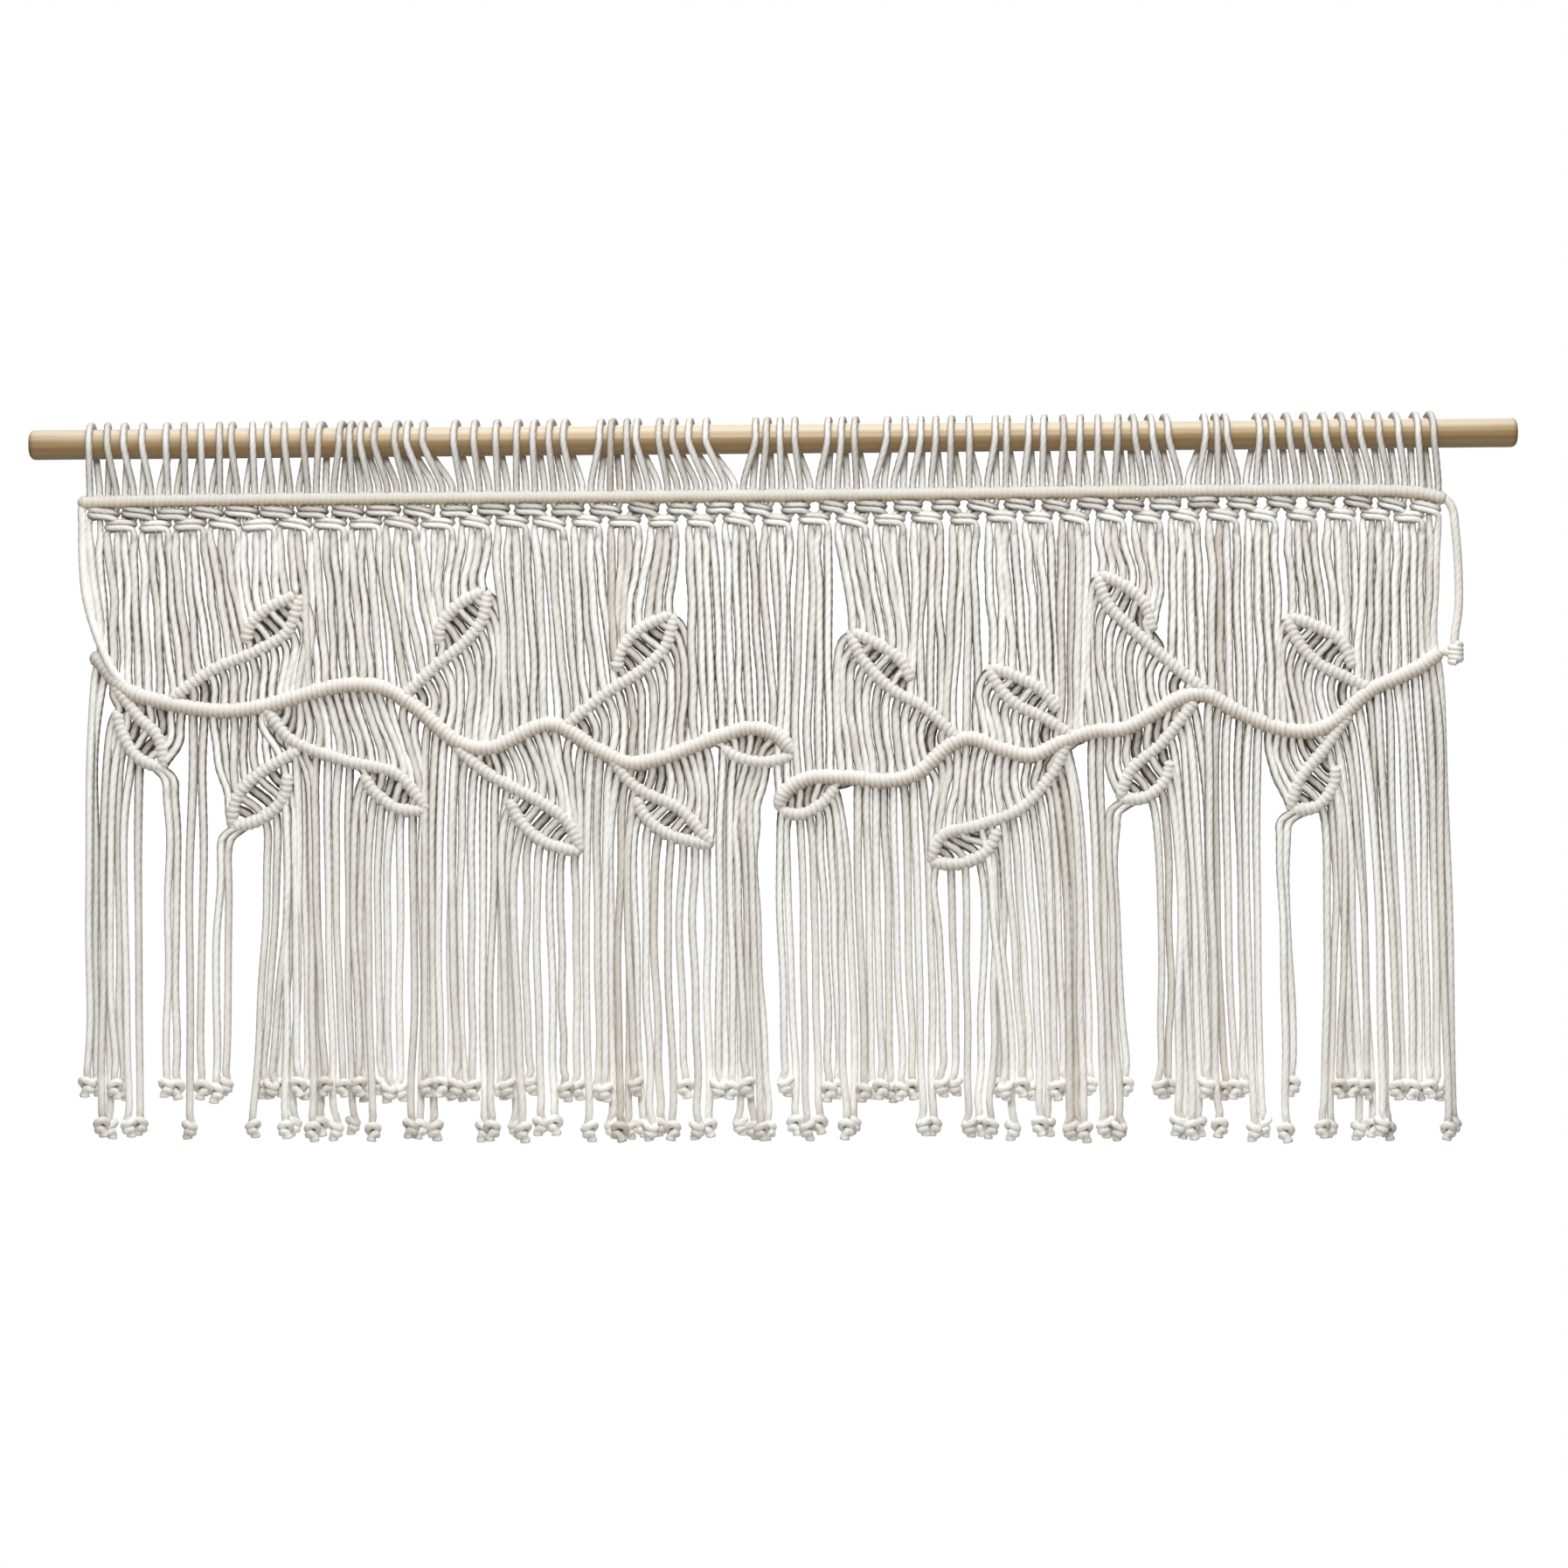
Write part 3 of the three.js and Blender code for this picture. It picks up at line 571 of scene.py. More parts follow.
class Net:
    """Every strand's stops on its way down: the place, the direction through it and whether it is a bar."""

    def __init__(self):
        self.stops = [[] for _ in range(STRANDS)]
        self.header = Line(HEADER_LINE)
        self.left_vine = Line(LEFT_VINE_LINE)
        self.right_vine = Line(RIGHT_VINE_LINE)
        self.leaf_bars = []
        for leaf in LEAVES_ABOVE:
            stem, edge = self.add_leaf(leaf)
            self.cross(edge, *strand_shares(leaf["edge_cords"]))
            self.cross(stem, *strand_shares(leaf["cords"]))
        strands, shares = strand_shares([0, LEFT_VINE_LAST_CORD], lead=FILLER_SHARE)
        self.cross(self.left_vine, strands, drifted(shares, self.left_vine, LEFT_VINE_DRIFT))
        strands, shares = strand_shares([LEFT_VINE_LAST_CORD + 1, CORDS - 1], trail=FILLER_SHARE)
        self.cross(self.right_vine, strands, drifted(shares, self.right_vine, RIGHT_VINE_DRIFT))
        for leaf, tip in zip(VINE_END_LEAVES, (1, 0)):
            edge = Line(leaf["edge"])
            self.cross(edge, *strand_shares(leaf["edge_cords"], trail=leaf["trail"]))
            self.leaf_bars.append((edge, tip))
        for leaf in LEAVES_BELOW:
            stem, edge = self.add_leaf(leaf)
            self.cross(stem, *strand_shares(leaf["cords"]))
            self.cross(edge, *strand_shares(leaf["edge_cords"], trail=leaf.get("trail", 0)))
            if "hook" in leaf:
                self.hook(leaf)
        for strand, *place in HUNG_ASIDE:
            self.stops[strand].append((np.array(place), DOWN, False))

    def hook(self, leaf):
        """Leads the two strands next to a leaf's tip out sideways."""
        first, last = leaf["edge_cords"]
        side = leaf["hook"]
        strands = [2 * first, 2 * first + 1] if side < 0 else [2 * last + 1, 2 * last]
        tip_x, tip_z = leaf["edge"][0 if side < 0 else -1]
        for strand, (out, down) in zip(strands, TIP_HOOKS):
            place, _, is_bar = self.stops[strand].pop()
            self.stops[strand].append((place, unit(np.array([side, 0, HOOK_SLOPE])), is_bar))
            self.stops[strand].append((np.array([tip_x + side * out, 0, tip_z - down]), DOWN, False))

    def cross(self, line, strands, shares):
        for strand, (x, z), (ahead_x, ahead_z) in zip(strands, line.at(shares), line.along(shares)):
            self.stops[strand].append((np.array([x, 0, z]), np.array([ahead_z, 0, -ahead_x]), True))

    def add_leaf(self, leaf):
        tip = 0 if leaf["stem"][0] == leaf["edge"][0] else 1
        stem, edge = Line(leaf["stem"]), Line(leaf["edge"])
        self.leaf_bars += [(stem, tip), (edge, tip)]
        return stem, edge


def knot_stretch(places, row, strand, uneven):
    """The points of one strand through its square knot in a row, or None where it has none."""
    first = strand - (strand - 2 * row) % 4
    if first < 0 or first + 3 >= STRANDS:
        return None
    middle = places[first:first + 4, 0].mean()
    wider, tilt, drop = uneven[row, first]
    top = ROW_TOPS[row] + places[first:first + 4, 1].mean() - HEADER_LINE[1][1] + drop
    spot = strand - first
    if spot in (1, 2):
        x = middle + (KNOT_CORE if spot == 2 else -KNOT_CORE)
        return [[x, 0, top], [x, 0, top - KNOT_HEIGHT]]
    half_width = np.interp(middle, *KNOT_HALF_WIDTH) * (1 + wider)
    way = LEFT_KNOT_WAY if spot == 0 else RIGHT_KNOT_WAY + [KNOT_ARCH_END] * row
    way = np.array(way) * [half_width, 1, 1]
    way[:, 2] += tilt * way[:, 0]
    return (way + [middle, 0, top]).tolist()


def span(start, leaving, end, arriving, handle_most, sway):
    """A hanging stretch between two bars, which leaves square and meets the next nearly square if short."""
    length = np.linalg.norm(end - start)
    square = np.interp(length, *ARRIVING_SQUARENESS)
    handle = min(HANDLE_SHARE * length, handle_most)
    t = np.linspace(0, 1, max(SPAN_LEAST_STEPS, int(length / SPAN_STEP)))[1:-1, None]
    a = start + unit(LEAVING_SQUARENESS * leaving + (1 - LEAVING_SQUARENESS) * DOWN) * handle
    b = end - unit(square * arriving + (1 - square) * DOWN) * handle
    curve = (1 - t) ** 3 * start + 3 * (1 - t) ** 2 * t * a + 3 * (1 - t) * t**2 * b + t**3 * end
    share = min(1, length / SWAY_FULL_LENGTH)
    waves = np.sin(np.pi * t * np.arange(1, SWAY_WAVES + 1))
    return curve + share * waves @ sway


def hanging_sway(strand):
    """How a stretch strays sideways and in depth: every other strand hangs a little behind."""
    fading = 1 / np.arange(1, SWAY_WAVES + 1)[:, None] ** SWAY_FADING
    sway = chance.normal(size=(SWAY_WAVES, 3)) * [SWAY[0], SWAY[1], 0] * fading
    sway[0, 1] += STRAND_SETBACK + (-STRAND_STAGGER if strand % 2 == 0 else STRAND_STAGGER)
    return sway


def spread(places, spacing):
    """Keeps the order of the places and moves them at least the given spacing apart."""
    rightward = places.copy()
    leftward = places.copy()
    for index in range(1, len(places)):
        rightward[index] = max(places[index], rightward[index - 1] + spacing)
        mirrored = len(places) - 1 - index
        leftward[mirrored] = min(places[mirrored], leftward[mirrored + 1] - spacing)
    return (rightward + leftward) / 2


def hem_knots(net):
    """The middle of each strand's end knot."""
    roots = np.array([stops[-1][0][0] + TAIL_SWING * stops[-1][1][0] for stops in net.stops])
    even = np.linspace(-HEM_HALF_WIDTH, HEM_HALF_WIDTH, STRANDS)
    x = spread(roots + (even - roots) * TAIL_EVENNESS, TAIL_SPACING)
    strand = np.arange(STRANDS)
    y = np.where(strand % 2 == 0, -TAIL_STAGGER, TAIL_STAGGER)
    y += chance.uniform(-TAIL_STRAY, TAIL_STRAY, STRANDS)
    level = strand // 2 + (chance.random(STRANDS) < HEM_DISORDER)
    z = np.array(HEM_LEVELS)[level % 2] + HEM_SLOPE * x + HEM_UNEVENNESS * chance.uniform(-1, 1, STRANDS)
    return np.stack([x, y, z], axis=-1)


def end_knot(knot):
    """An overhand knot with its short end, turned a little differently each time."""
    way = np.array(END_KNOT_WAY) * chance.uniform(*END_KNOT_SIZE)
    if chance.random() < 0.5:
        way[:, 0] *= -1
    turn = chance.uniform(-END_KNOT_TURN, END_KNOT_TURN)
    flat = way[:, :2] @ np.array([[math.cos(turn), math.sin(turn)], [-math.sin(turn), math.cos(turn)]])
    return np.column_stack([flat, way[:, 2]]) + knot


def strand_way(net, places, strand, knot, uneven):
    """One strand from the header to its end knot, as the middles of its rings."""
    x, z = places[strand]
    way = [[x, 0, z + HEADER_HOLD], [x, 0, z - HEADER_HOLD]]
    for row in (0, 1):
        way += knot_stretch(places, row, strand, uneven) or []
    foot = np.array([way[-1][0], 0, FOOT_Z])
    way.append(foot)
    start, leaving, from_bar = foot, DOWN, False
    for place, through, is_bar in net.stops[strand]:
        sway = hanging_sway(strand)
        length = np.linalg.norm(place - start)
        if from_bar and is_bar and length < EYE_REACH and strand % 2:
            sway[0, 1] += EYE_SETBACK * SWAY_FULL_LENGTH / length
        way += list(span(start, leaving, place, through, SPAN_HANDLE, sway))
        way.append(place)
        start, leaving, from_bar = place, through, is_bar
    neck = knot + [0, 0, TAIL_NECK]
    way += list(span(start, leaving, neck, DOWN, TAIL_HANDLE, hanging_sway(strand)))
    way += [neck, *end_knot(knot)]
    way = smooth(way, STRAND_STEPS)
    fine = (way[:, 2] > FOOT_Z) | (way[:, 2] < knot[2] + TAIL_NECK)
    return ring_places(way, STRAND_RINGS, np.where(fine, FINE_RINGS, 1.0))


def bar_shadows(net, ways):
    """The shade that the header and each bar cast on the strands just below them, painted into the strands,
    and the painted shade in the eyes, darker on every other strand.
    """
    shadows = np.interp(HEADER_LINE[1][1] - ways[:, :, 2], HEADER_SHADOW_REACH, (HEADER_SHADOW, 0))
    for strand, way in enumerate(ways):
        reach = lengths_along(way)
        bars = [place for place, _, is_bar in net.stops[strand] if is_bar]
        crossings = [reach[np.linalg.norm(way - place, axis=1).argmin()] for place in bars]
        for crossing, following in zip(crossings, crossings[1:] + [np.inf]):
            below = np.interp(reach - crossing, BAR_SHADOW_REACH, (BAR_SHADOW, 0))
            if following - crossing < EYE_REACH:
                below = np.where(reach < following, EYE_SHADOW[strand % 2], 0)
            shadows[strand] = np.maximum(shadows[strand], np.where(reach >= crossing, below, 0))
    return shadows


def strand_radii(ways, knots):
    """Cords are pressed thinner in the knots, and their cut ends spread."""
    thick = np.interp(ways[:, :, 2], *STRAND_RADIUS)
    thick[ways[:, :, 2] < knots[:, None, 2] + TAIL_NECK / 2] = END_KNOT_CORD_RADIUS
    thick *= 1 + STRAND_UNEVENNESS * chance.normal(size=(len(ways), 1))
    thick[:, -2:] *= END_FLARE
    return thick


def strand_tints(count):
    usual, scatter = STRAND_TINT
    return np.clip(usual + scatter * chance.normal(size=count), 0, 1)


def build_strands(net, material):
    _, shares = strand_shares([0, CORDS - 1], FILLER_SHARE, FILLER_SHARE)
    places = net.header.at(drifted(shares, net.header, HEADER_DRIFT))
    knots = hem_knots(net)
    uneven = chance.uniform(-1, 1, size=(2, STRANDS, 3)) * list(KNOT_UNEVENNESS.values())
    ways = np.stack([strand_way(net, places, strand, knots[strand], uneven) for strand in range(STRANDS)])
    radii = strand_radii(ways, knots)
    tints = strand_tints(STRANDS)
    shadows = bar_shadows(net, ways)
    # The darker strands in the eyes are fuller, so that their painted shade fills the eye
    radii[shadows >= EYE_SHADOW[1]] *= EYE_FULLNESS
    quarters = ["left", "middle_left", "middle_right", "right"]
    pieces = []
    for name, chosen in zip(quarters, np.array_split(np.arange(STRANDS), len(quarters))):
        skin = Skin()
        open_sides = [(0, -1)] if chosen[0] == 0 else [(-1, 1)] if chosen[-1] == STRANDS - 1 else []
        add_cords(skin, ways[chosen], radii[chosen], tints[chosen], (0, 2), open_sides, shadows[chosen])
        pieces.append(skin.piece("strands_" + name, material))
    return places, tints, pieces


def loop_way(rod_x, front_x, back_x, header_z):
    """A folded cord: up from the header, over the rod from front to back and down again."""
    lean = math.copysign(chance.uniform(*LOOP_LEAN), back_x - front_x)
    foot_z = LOOP_FOOT_Z + header_z - HEADER_LINE[1][1]
    neck_z = LOOP_NECK_Z + header_z - HEADER_LINE[1][1]
    over = []
    for turn in np.radians(LOOP_TURNS):
        share = math.cos(turn)
        over.append([rod_x + lean * share, LOOP_RADIUS * share, LOOP_RADIUS * math.sin(turn)])
    return [
        [front_x, -LOOP_FOOT_Y, foot_z], [front_x, -LOOP_NECK_Y, neck_z], *over,
        [back_x, LOOP_NECK_Y, neck_z], [back_x, LOOP_FOOT_Y, foot_z],
    ]


def build_loops(places, tints, material):
    ways = []
    for cord, rod_x in enumerate(loop_places()):
        front, back = places[2 * cord], places[2 * cord + 1]
        if cord in LOOP_FRONT_TO_RIGHT:
            front, back = back, front
        way = loop_way(rod_x + chance.normal() * LOOP_STRAY, front[0], back[0], places[2 * cord, 1])
        ways.append(ring_places(smooth(way, LOOP_STEPS), LOOP_RINGS))
    ways = np.stack(ways)
    skin = Skin()
    # Painted shade on the loops, strongest over the rod
    shadows = np.interp(ways[:, :, 2], *LOOP_SHADE)
    add_cords(skin, ways, np.full(ways.shape[:2], LOOP_CORD_RADIUS), tints[::2], (0,), (), shadows)
    return skin.piece("rod_loops", material)


def build_bars(net, header_look, wraps_look):
    header, vines, leaves = Skin(), Skin(), Skin()
    add_bar(header, net.header, HEADER_RADIUS, **HEADER_WRAP)
    add_bar(vines, net.left_vine, VINE_RADIUS, **VINE_WRAP, tip=1)
    add_bar(vines, net.right_vine, VINE_RADIUS, **VINE_WRAP, tip=0)
    for line, tip in net.leaf_bars:
        add_bar(leaves, line, LEAF_RADIUS, **LEAF_WRAP, tip=tip)
    return [
        header.piece("header_bar", header_look), vines.piece("vine_bars", wraps_look),
        leaves.piece("leaf_bars", wraps_look),
    ]


def barrel_way():
    """The coils of the barrel knot on the right filler cord."""
    turn = np.linspace(0, 2 * np.pi * BARREL["turns"], BARREL_STEPS * BARREL["turns"])
    z = np.linspace(BARREL["top"] - BARREL["cord"], BARREL["foot"] + BARREL["cord"], len(turn))
    return np.column_stack([
        BARREL["x"] + BARREL["radius"] * np.sin(turn), -BARREL["radius"] * np.cos(turn), z,
    ])


def build_fillers(material):
    skin = Skin()
    ways = [LEFT_FILLER_WAY, RIGHT_FILLER_WAY, RIGHT_VINE_TAIL_WAY]
    ways = np.stack([ring_places(smooth(way, FILLER_STEPS), FILLER_RINGS) for way in ways])
    add_cords(skin, ways, np.full(ways.shape[:2], FILLER_RADIUS), strand_tints(len(ways)))
    coils = ring_places(barrel_way(), BARREL_RINGS)[None]
    add_cords(skin, coils, np.full(coils.shape[:2], BARREL["cord"]), strand_tints(1))
    return skin.piece("filler_cords", material)


def build_rod(material):
    """A turned dowel: half of its outline is spun round the X axis."""
    half = ROD_LENGTH / 2
    bend = np.linspace(0, np.pi / 2, ROD_END_STEPS + 1)
    end_x = half - ROD_END_ROUND * (1 - np.sin(bend[::-1]))
    end_r = ROD_RADIUS - ROD_END_ROUND * (1 - np.cos(bend[::-1]))
    outline = [(-half, 0.0)]
    outline += list(zip(-end_x, end_r))
    middle = np.linspace(-half + ROD_END_ROUND, half - ROD_END_ROUND, ROD_STATIONS + 2)[1:-1]
    short, long = ROD_WAVER_LENGTHS
    outline += [(x, ROD_RADIUS + ROD_WAVER * math.sin(x / short) * math.sin(x / long)) for x in middle]
    outline += list(zip(end_x[::-1], end_r[::-1]))
    outline.append((half, 0.0))
    form = bmesh.new()
    points = [form.verts.new((x * MM, -r * MM, 0)) for x, r in outline]
    edges = [form.edges.new(pair) for pair in zip(points[:-1], points[1:])]
    bmesh.ops.spin(
        form, geom=points + edges, cent=(0, 0, 0), axis=(1, 0, 0), angle=2 * math.pi, steps=ROD_SIDES,
        use_merge=True,
    )
    bmesh.ops.remove_doubles(form, verts=form.verts, dist=1e-6)
    bmesh.ops.recalc_face_normals(form, faces=form.faces)
    for face in form.faces:
        face.smooth = True
    mesh = bpy.data.meshes.new("turned_rod")
    form.to_mesh(mesh)
    form.free()
    mesh.materials.append(material)
    thing = bpy.data.objects.new("turned_rod", mesh)
    bpy.context.scene.collection.objects.link(thing)
    return thing


# Materials


def add_node(tree, kind, inputs=None, **settings):
    node = tree.nodes.new(kind)
    for name, value in settings.items():
        setattr(node, name, value)
    for name, value in (inputs or {}).items():
        if isinstance(value, bpy.types.NodeSocket):
            tree.links.new(value, node.inputs[name])
        else:
            node.inputs[name].default_value = value
    return node


def math_node(tree, operation, first, second=0.0, third=0.0):
    inputs = {0: first, 1: second, 2: third}
    return add_node(tree, "ShaderNodeMath", inputs, operation=operation).outputs[0]


def mixed(tree, share, first, second):
    """A colour between two, with the share kept between 0 and 1."""
    inputs = {0: share, 6: first, 7: second}
    return add_node(tree, "ShaderNodeMix", inputs, data_type="RGBA", clamp_factor=True).outputs[2]


def cotton_yarn():
    """A group for twisted cotton: its plies, fibres and uneven colour along the cord, and its painted shade.
    """
    group = bpy.data.node_groups.new("cotton_yarn", "ShaderNodeTree")
    face = group.interface
    for name, kind in (
        ("Lay Length", "NodeSocketFloat"), ("Light Colour", "NodeSocketColor"),
        ("Dark Colour", "NodeSocketColor"), ("Shade Colour", "NodeSocketColor"),
        ("Groove Shade", "NodeSocketFloat"),
    ):
        face.new_socket(name, in_out="INPUT", socket_type=kind)
    for name, kind in (
        ("Colour", "NodeSocketColor"), ("Roughness", "NodeSocketFloat"), ("Height", "NodeSocketFloat"),
    ):
        face.new_socket(name, in_out="OUTPUT", socket_type=kind)
    given = add_node(group, "NodeGroupInput")
    result = add_node(group, "NodeGroupOutput")
    uv = add_node(group, "ShaderNodeUVMap", uv_map="cord")
    split = add_node(group, "ShaderNodeSeparateXYZ", {0: uv.outputs[0]})
    turns = math_node(group, "DIVIDE", split.outputs["Y"], given.outputs["Lay Length"])
    angle = math_node(group, "SUBTRACT", split.outputs["X"], turns)
    ply = math_node(group, "PINGPONG", math_node(group, "MULTIPLY", angle, float(PLIES)), 0.5)
    crown = add_node(
        group, "ShaderNodeMapRange", {"Value": ply, "From Max": 0.22}, interpolation_type="SMOOTHSTEP",
    ).outputs[0]
    radians = math_node(group, "MULTIPLY", angle, 2 * math.pi)
    fibre_place = add_node(group, "ShaderNodeCombineXYZ", {
        "X": math_node(group, "COSINE", radians), "Y": math_node(group, "SINE", radians),
        "Z": math_node(group, "MULTIPLY", split.outputs["Y"], 60.0),
    }).outputs[0]
    fibre = add_node(
        group, "ShaderNodeTexNoise", {"Vector": fibre_place, "Scale": 7.0, "Detail": 4.0, "Roughness": 0.65},
    ).outputs[0]
    place = add_node(group, "ShaderNodeTexCoord").outputs["Object"]
    mottle = add_node(
        group, "ShaderNodeTexNoise", {"Vector": place, "Scale": 95.0, "Detail": 3.0, "Roughness": 0.55},
    ).outputs[0]
    tint = add_node(group, "ShaderNodeAttribute", attribute_name="tint").outputs["Fac"]
    painted_shade = add_node(group, "ShaderNodeAttribute", attribute_name="painted_shade").outputs["Fac"]
    light = math_node(group, "MULTIPLY_ADD", math_node(group, "SUBTRACT", mottle, 0.5), MOTTLE_CONTRAST, tint)
    light = math_node(group, "MULTIPLY_ADD", math_node(group, "SUBTRACT", fibre, 0.5), FIBRE_CONTRAST, light)
    yarn = mixed(group, light, given.outputs["Dark Colour"], given.outputs["Light Colour"])
    # Painted shade: the ply grooves and the painted_shade attribute mix the yarn towards the shade colour
    groove = math_node(group, "SUBTRACT", 1.0, crown)
    shade = math_node(group, "MULTIPLY_ADD", groove, given.outputs["Groove Shade"], painted_shade)
    colour = mixed(group, shade, yarn, given.outputs["Shade Colour"])
    group.links.new(colour, result.inputs["Colour"])
    group.links.new(math_node(group, "MULTIPLY_ADD", fibre, 0.16, 0.8), result.inputs["Roughness"])
    group.links.new(math_node(group, "MULTIPLY_ADD", fibre, 0.45, crown), result.inputs["Height"])
    return group


def cotton(name, yarn, light, dark, shade, groove_shade, bump):
    """One cotton finish, with its own colours and depth of twist."""
    material = bpy.data.materials.new(name)
    material.use_nodes = True
    tree = material.node_tree
    shader = tree.nodes["Principled BSDF"]
    made = add_node(tree, "ShaderNodeGroup", node_tree=yarn)
    made.inputs["Lay Length"].default_value = LAY * MM
    made.inputs["Light Colour"].default_value = (*light, 1)
    made.inputs["Dark Colour"].default_value = (*dark, 1)
    made.inputs["Shade Colour"].default_value = (*shade, 1)
    made.inputs["Groove Shade"].default_value = groove_shade
    raised = add_node(tree, "ShaderNodeBump", {
        "Height": made.outputs["Height"], "Strength": bump, "Distance": COTTON_BUMP_DEPTH * MM,
    })
    tree.links.new(made.outputs["Colour"], shader.inputs["Base Color"])
    tree.links.new(made.outputs["Roughness"], shader.inputs["Roughness"])
    tree.links.new(raised.outputs[0], shader.inputs["Normal"])
    shader.inputs["Specular IOR Level"].default_value = 0.1
    return material


def painted_tone_by_height(tree, wood, height, tone):
    """Blends one painted tone over the wood between two heights: painted light on the top, painted shade
    underneath.
    """
    share = add_node(tree, "ShaderNodeMapRange", {
        "Value": height, "From Min": tone["from"] * MM, "From Max": tone["to"] * MM, "To Max": tone["most"],
    }).outputs[0]
    return mixed(tree, share, wood, tone["colour"])


def turned_wood():
    """Pale softwood along the X axis: long grain, fine pores and a thin satin coat, with painted light on its
    top and painted shade beneath.
    """
    material = bpy.data.materials.new("turned_wood")
    material.use_nodes = True
    tree = material.node_tree
    shader = tree.nodes["Principled BSDF"]
    place = add_node(tree, "ShaderNodeTexCoord").outputs["Object"]
    stretch = {"Vector": place, "Scale": WOOD_GRAIN_STRETCH}
    stretched = add_node(tree, "ShaderNodeMapping", stretch).outputs[0]
    drift = add_node(
        tree, "ShaderNodeTexNoise", {"Vector": stretched, "Scale": 1.0, "Detail": 3.0, "Distortion": 0.6},
    ).outputs[0]
    rings = add_node(tree, "ShaderNodeTexWave", {
        "Vector": stretched, "Scale": 0.9, "Distortion": 5.0, "Detail": 3.0, "Detail Scale": 0.7,
    }, bands_direction="Z").outputs[1]
    stretch = {"Vector": place, "Scale": WOOD_PORE_STRETCH}
    pore_place = add_node(tree, "ShaderNodeMapping", stretch).outputs[0]
    pores = add_node(
        tree, "ShaderNodeTexNoise", {"Vector": pore_place, "Scale": 1.0, "Detail": 4.0, "Roughness": 0.7},
    ).outputs[0]
    grain = math_node(tree, "MULTIPLY_ADD", rings, 0.45, math_node(tree, "MULTIPLY", drift, 0.55))
    grain = math_node(tree, "MULTIPLY_ADD", math_node(tree, "SUBTRACT", pores, 0.5), 0.5, grain)
    ramp = add_node(tree, "ShaderNodeValToRGB", {"Fac": grain})
    dark, middle, light = WOOD_GRAIN
    stops = ramp.color_ramp.elements
    stops[0].position, stops[0].color = dark
    stops[1].position, stops[1].color = light
    stops.new(middle[0]).color = middle[1]
    height = add_node(tree, "ShaderNodeSeparateXYZ", {0: place}).outputs["Z"]
    # Painted shade on the underside and painted light on the top, by height
    wood = painted_tone_by_height(tree, ramp.outputs[0], height, WOOD_PAINTED_UNDERSIDE_SHADE)
    wood = painted_tone_by_height(tree, wood, height, WOOD_PAINTED_TOP_LIGHT)
    raised = add_node(tree, "ShaderNodeBump", {
        "Height": grain, "Strength": 0.25, "Distance": WOOD_BUMP_DEPTH * MM,
    })
    tree.links.new(wood, shader.inputs["Base Color"])
    tree.links.new(math_node(tree, "MULTIPLY_ADD", pores, 0.3, 0.34), shader.inputs["Roughness"])
    tree.links.new(raised.outputs[0], shader.inputs["Normal"])
    shader.inputs["Coat Weight"].default_value = 0.3
    shader.inputs["Coat Roughness"].default_value = 0.3
    return material


# Studio


def build_camera():
    data = bpy.data.cameras.new("photo_camera")
    data.lens = LENS
    data.sensor_width = SENSOR
    data.clip_end = 50
    camera = bpy.data.objects.new("photo_camera", data)
    away = PICTURE_WIDTH * MM * LENS / SENSOR
    x, z = PICTURE_CENTRE
    place = Matrix.Translation((x * MM, -away, z * MM))
    upright = Matrix.Rotation(math.radians(90), 4, "X")
    camera.matrix_world = place @ upright @ Matrix.Rotation(math.radians(PICTURE_ROLL), 4, "Z")
    bpy.context.scene.collection.objects.link(camera)
    bpy.context.scene.camera = camera


def add_light(name, place, aim, size, power):
    data = bpy.data.lights.new(name, "AREA")
    data.size = size
    data.energy = power
    light = bpy.data.objects.new(name, data)
    light.location = place
    light.rotation_euler = (Vector(aim) - Vector(place)).to_track_quat("-Z", "Y").to_euler()
    bpy.context.scene.collection.objects.link(light)


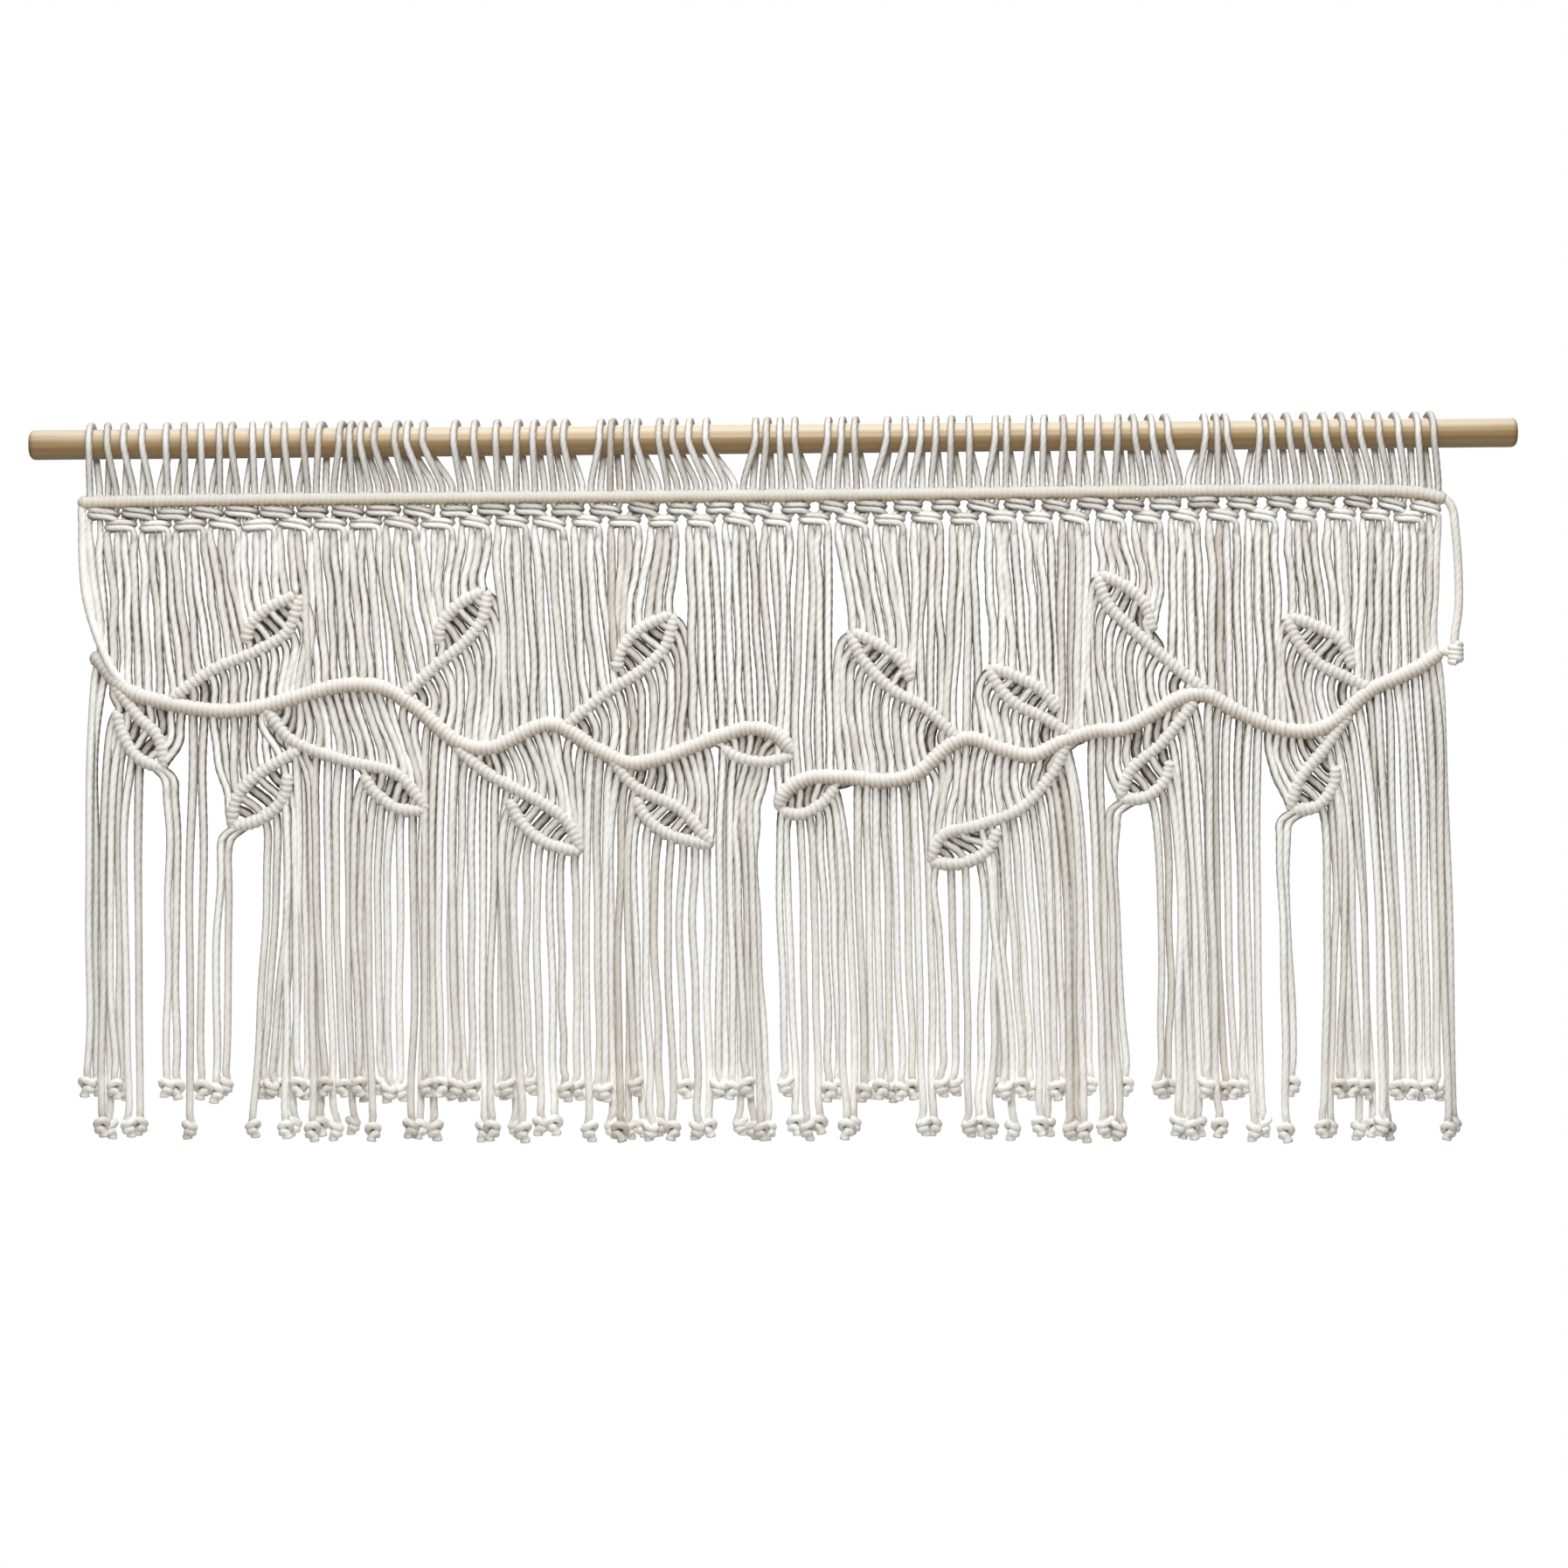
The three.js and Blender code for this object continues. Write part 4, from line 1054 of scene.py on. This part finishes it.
def build_world():
    """A white studio: the backdrop looks white, and the light that it sends is softer."""
    world = bpy.data.worlds.new("studio")
    bpy.context.scene.world = world
    world.use_nodes = True
    tree = world.node_tree
    ground = tree.nodes["Background"]
    ground.inputs["Color"].default_value = STUDIO_COLOUR
    ground.inputs["Strength"].default_value = STUDIO_STRENGTH
    backdrop = add_node(tree, "ShaderNodeBackground", {"Color": (1, 1, 1, 1), "Strength": 1.0})
    seen = add_node(tree, "ShaderNodeLightPath").outputs["Is Camera Ray"]
    mix = add_node(tree, "ShaderNodeMixShader", {0: seen, 1: ground.outputs[0], 2: backdrop.outputs[0]})
    tree.links.new(mix.outputs[0], tree.nodes["World Output"].inputs["Surface"])


def build_floor():
    """A pale floor far below, which glows for the camera alone."""
    form = bmesh.new()
    bmesh.ops.create_grid(form, x_segments=1, y_segments=1, size=FLOOR_HALF_WIDTH)
    bmesh.ops.translate(form, verts=form.verts, vec=(0, 0, FLOOR_Z))
    mesh = bpy.data.meshes.new("floor")
    form.to_mesh(mesh)
    form.free()
    material = bpy.data.materials.new("floor")
    material.use_nodes = True
    tree = material.node_tree
    shader = tree.nodes["Principled BSDF"]
    shader.inputs["Base Color"].default_value = FLOOR_COLOUR
    shader.inputs["Roughness"].default_value = 0.8
    shader.inputs["Emission Color"].default_value = FLOOR_GLOW
    seen = add_node(tree, "ShaderNodeLightPath").outputs["Is Camera Ray"]
    tree.links.new(seen, shader.inputs["Emission Strength"])
    mesh.materials.append(material)
    floor = bpy.data.objects.new("floor", mesh)
    bpy.context.scene.collection.objects.link(floor)


def build_studio():
    bpy.context.scene.view_settings.view_transform = "Standard"
    build_camera()
    build_world()
    build_floor()
    for light in LIGHTS:
        add_light(**light)


def build_curtain():
    yarn = cotton_yarn()
    strands_look = cotton("cotton_strands", yarn, **STRANDS_LOOK)
    wraps_look = cotton("cotton_wraps", yarn, **WRAPS_LOOK)
    header_look = cotton("cotton_header", yarn, **HEADER_LOOK)
    net = Net()
    places, tints, pieces = build_strands(net, strands_look)
    pieces.append(build_loops(places, tints, strands_look))
    pieces.append(build_fillers(strands_look))
    pieces += build_bars(net, header_look, wraps_look)
    for piece in pieces:
        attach(piece, "root")
        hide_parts("macrame_net")
    rod = build_rod(turned_wood())
    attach(rod, "root")
    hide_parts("rod")


build_studio()
build_curtain()
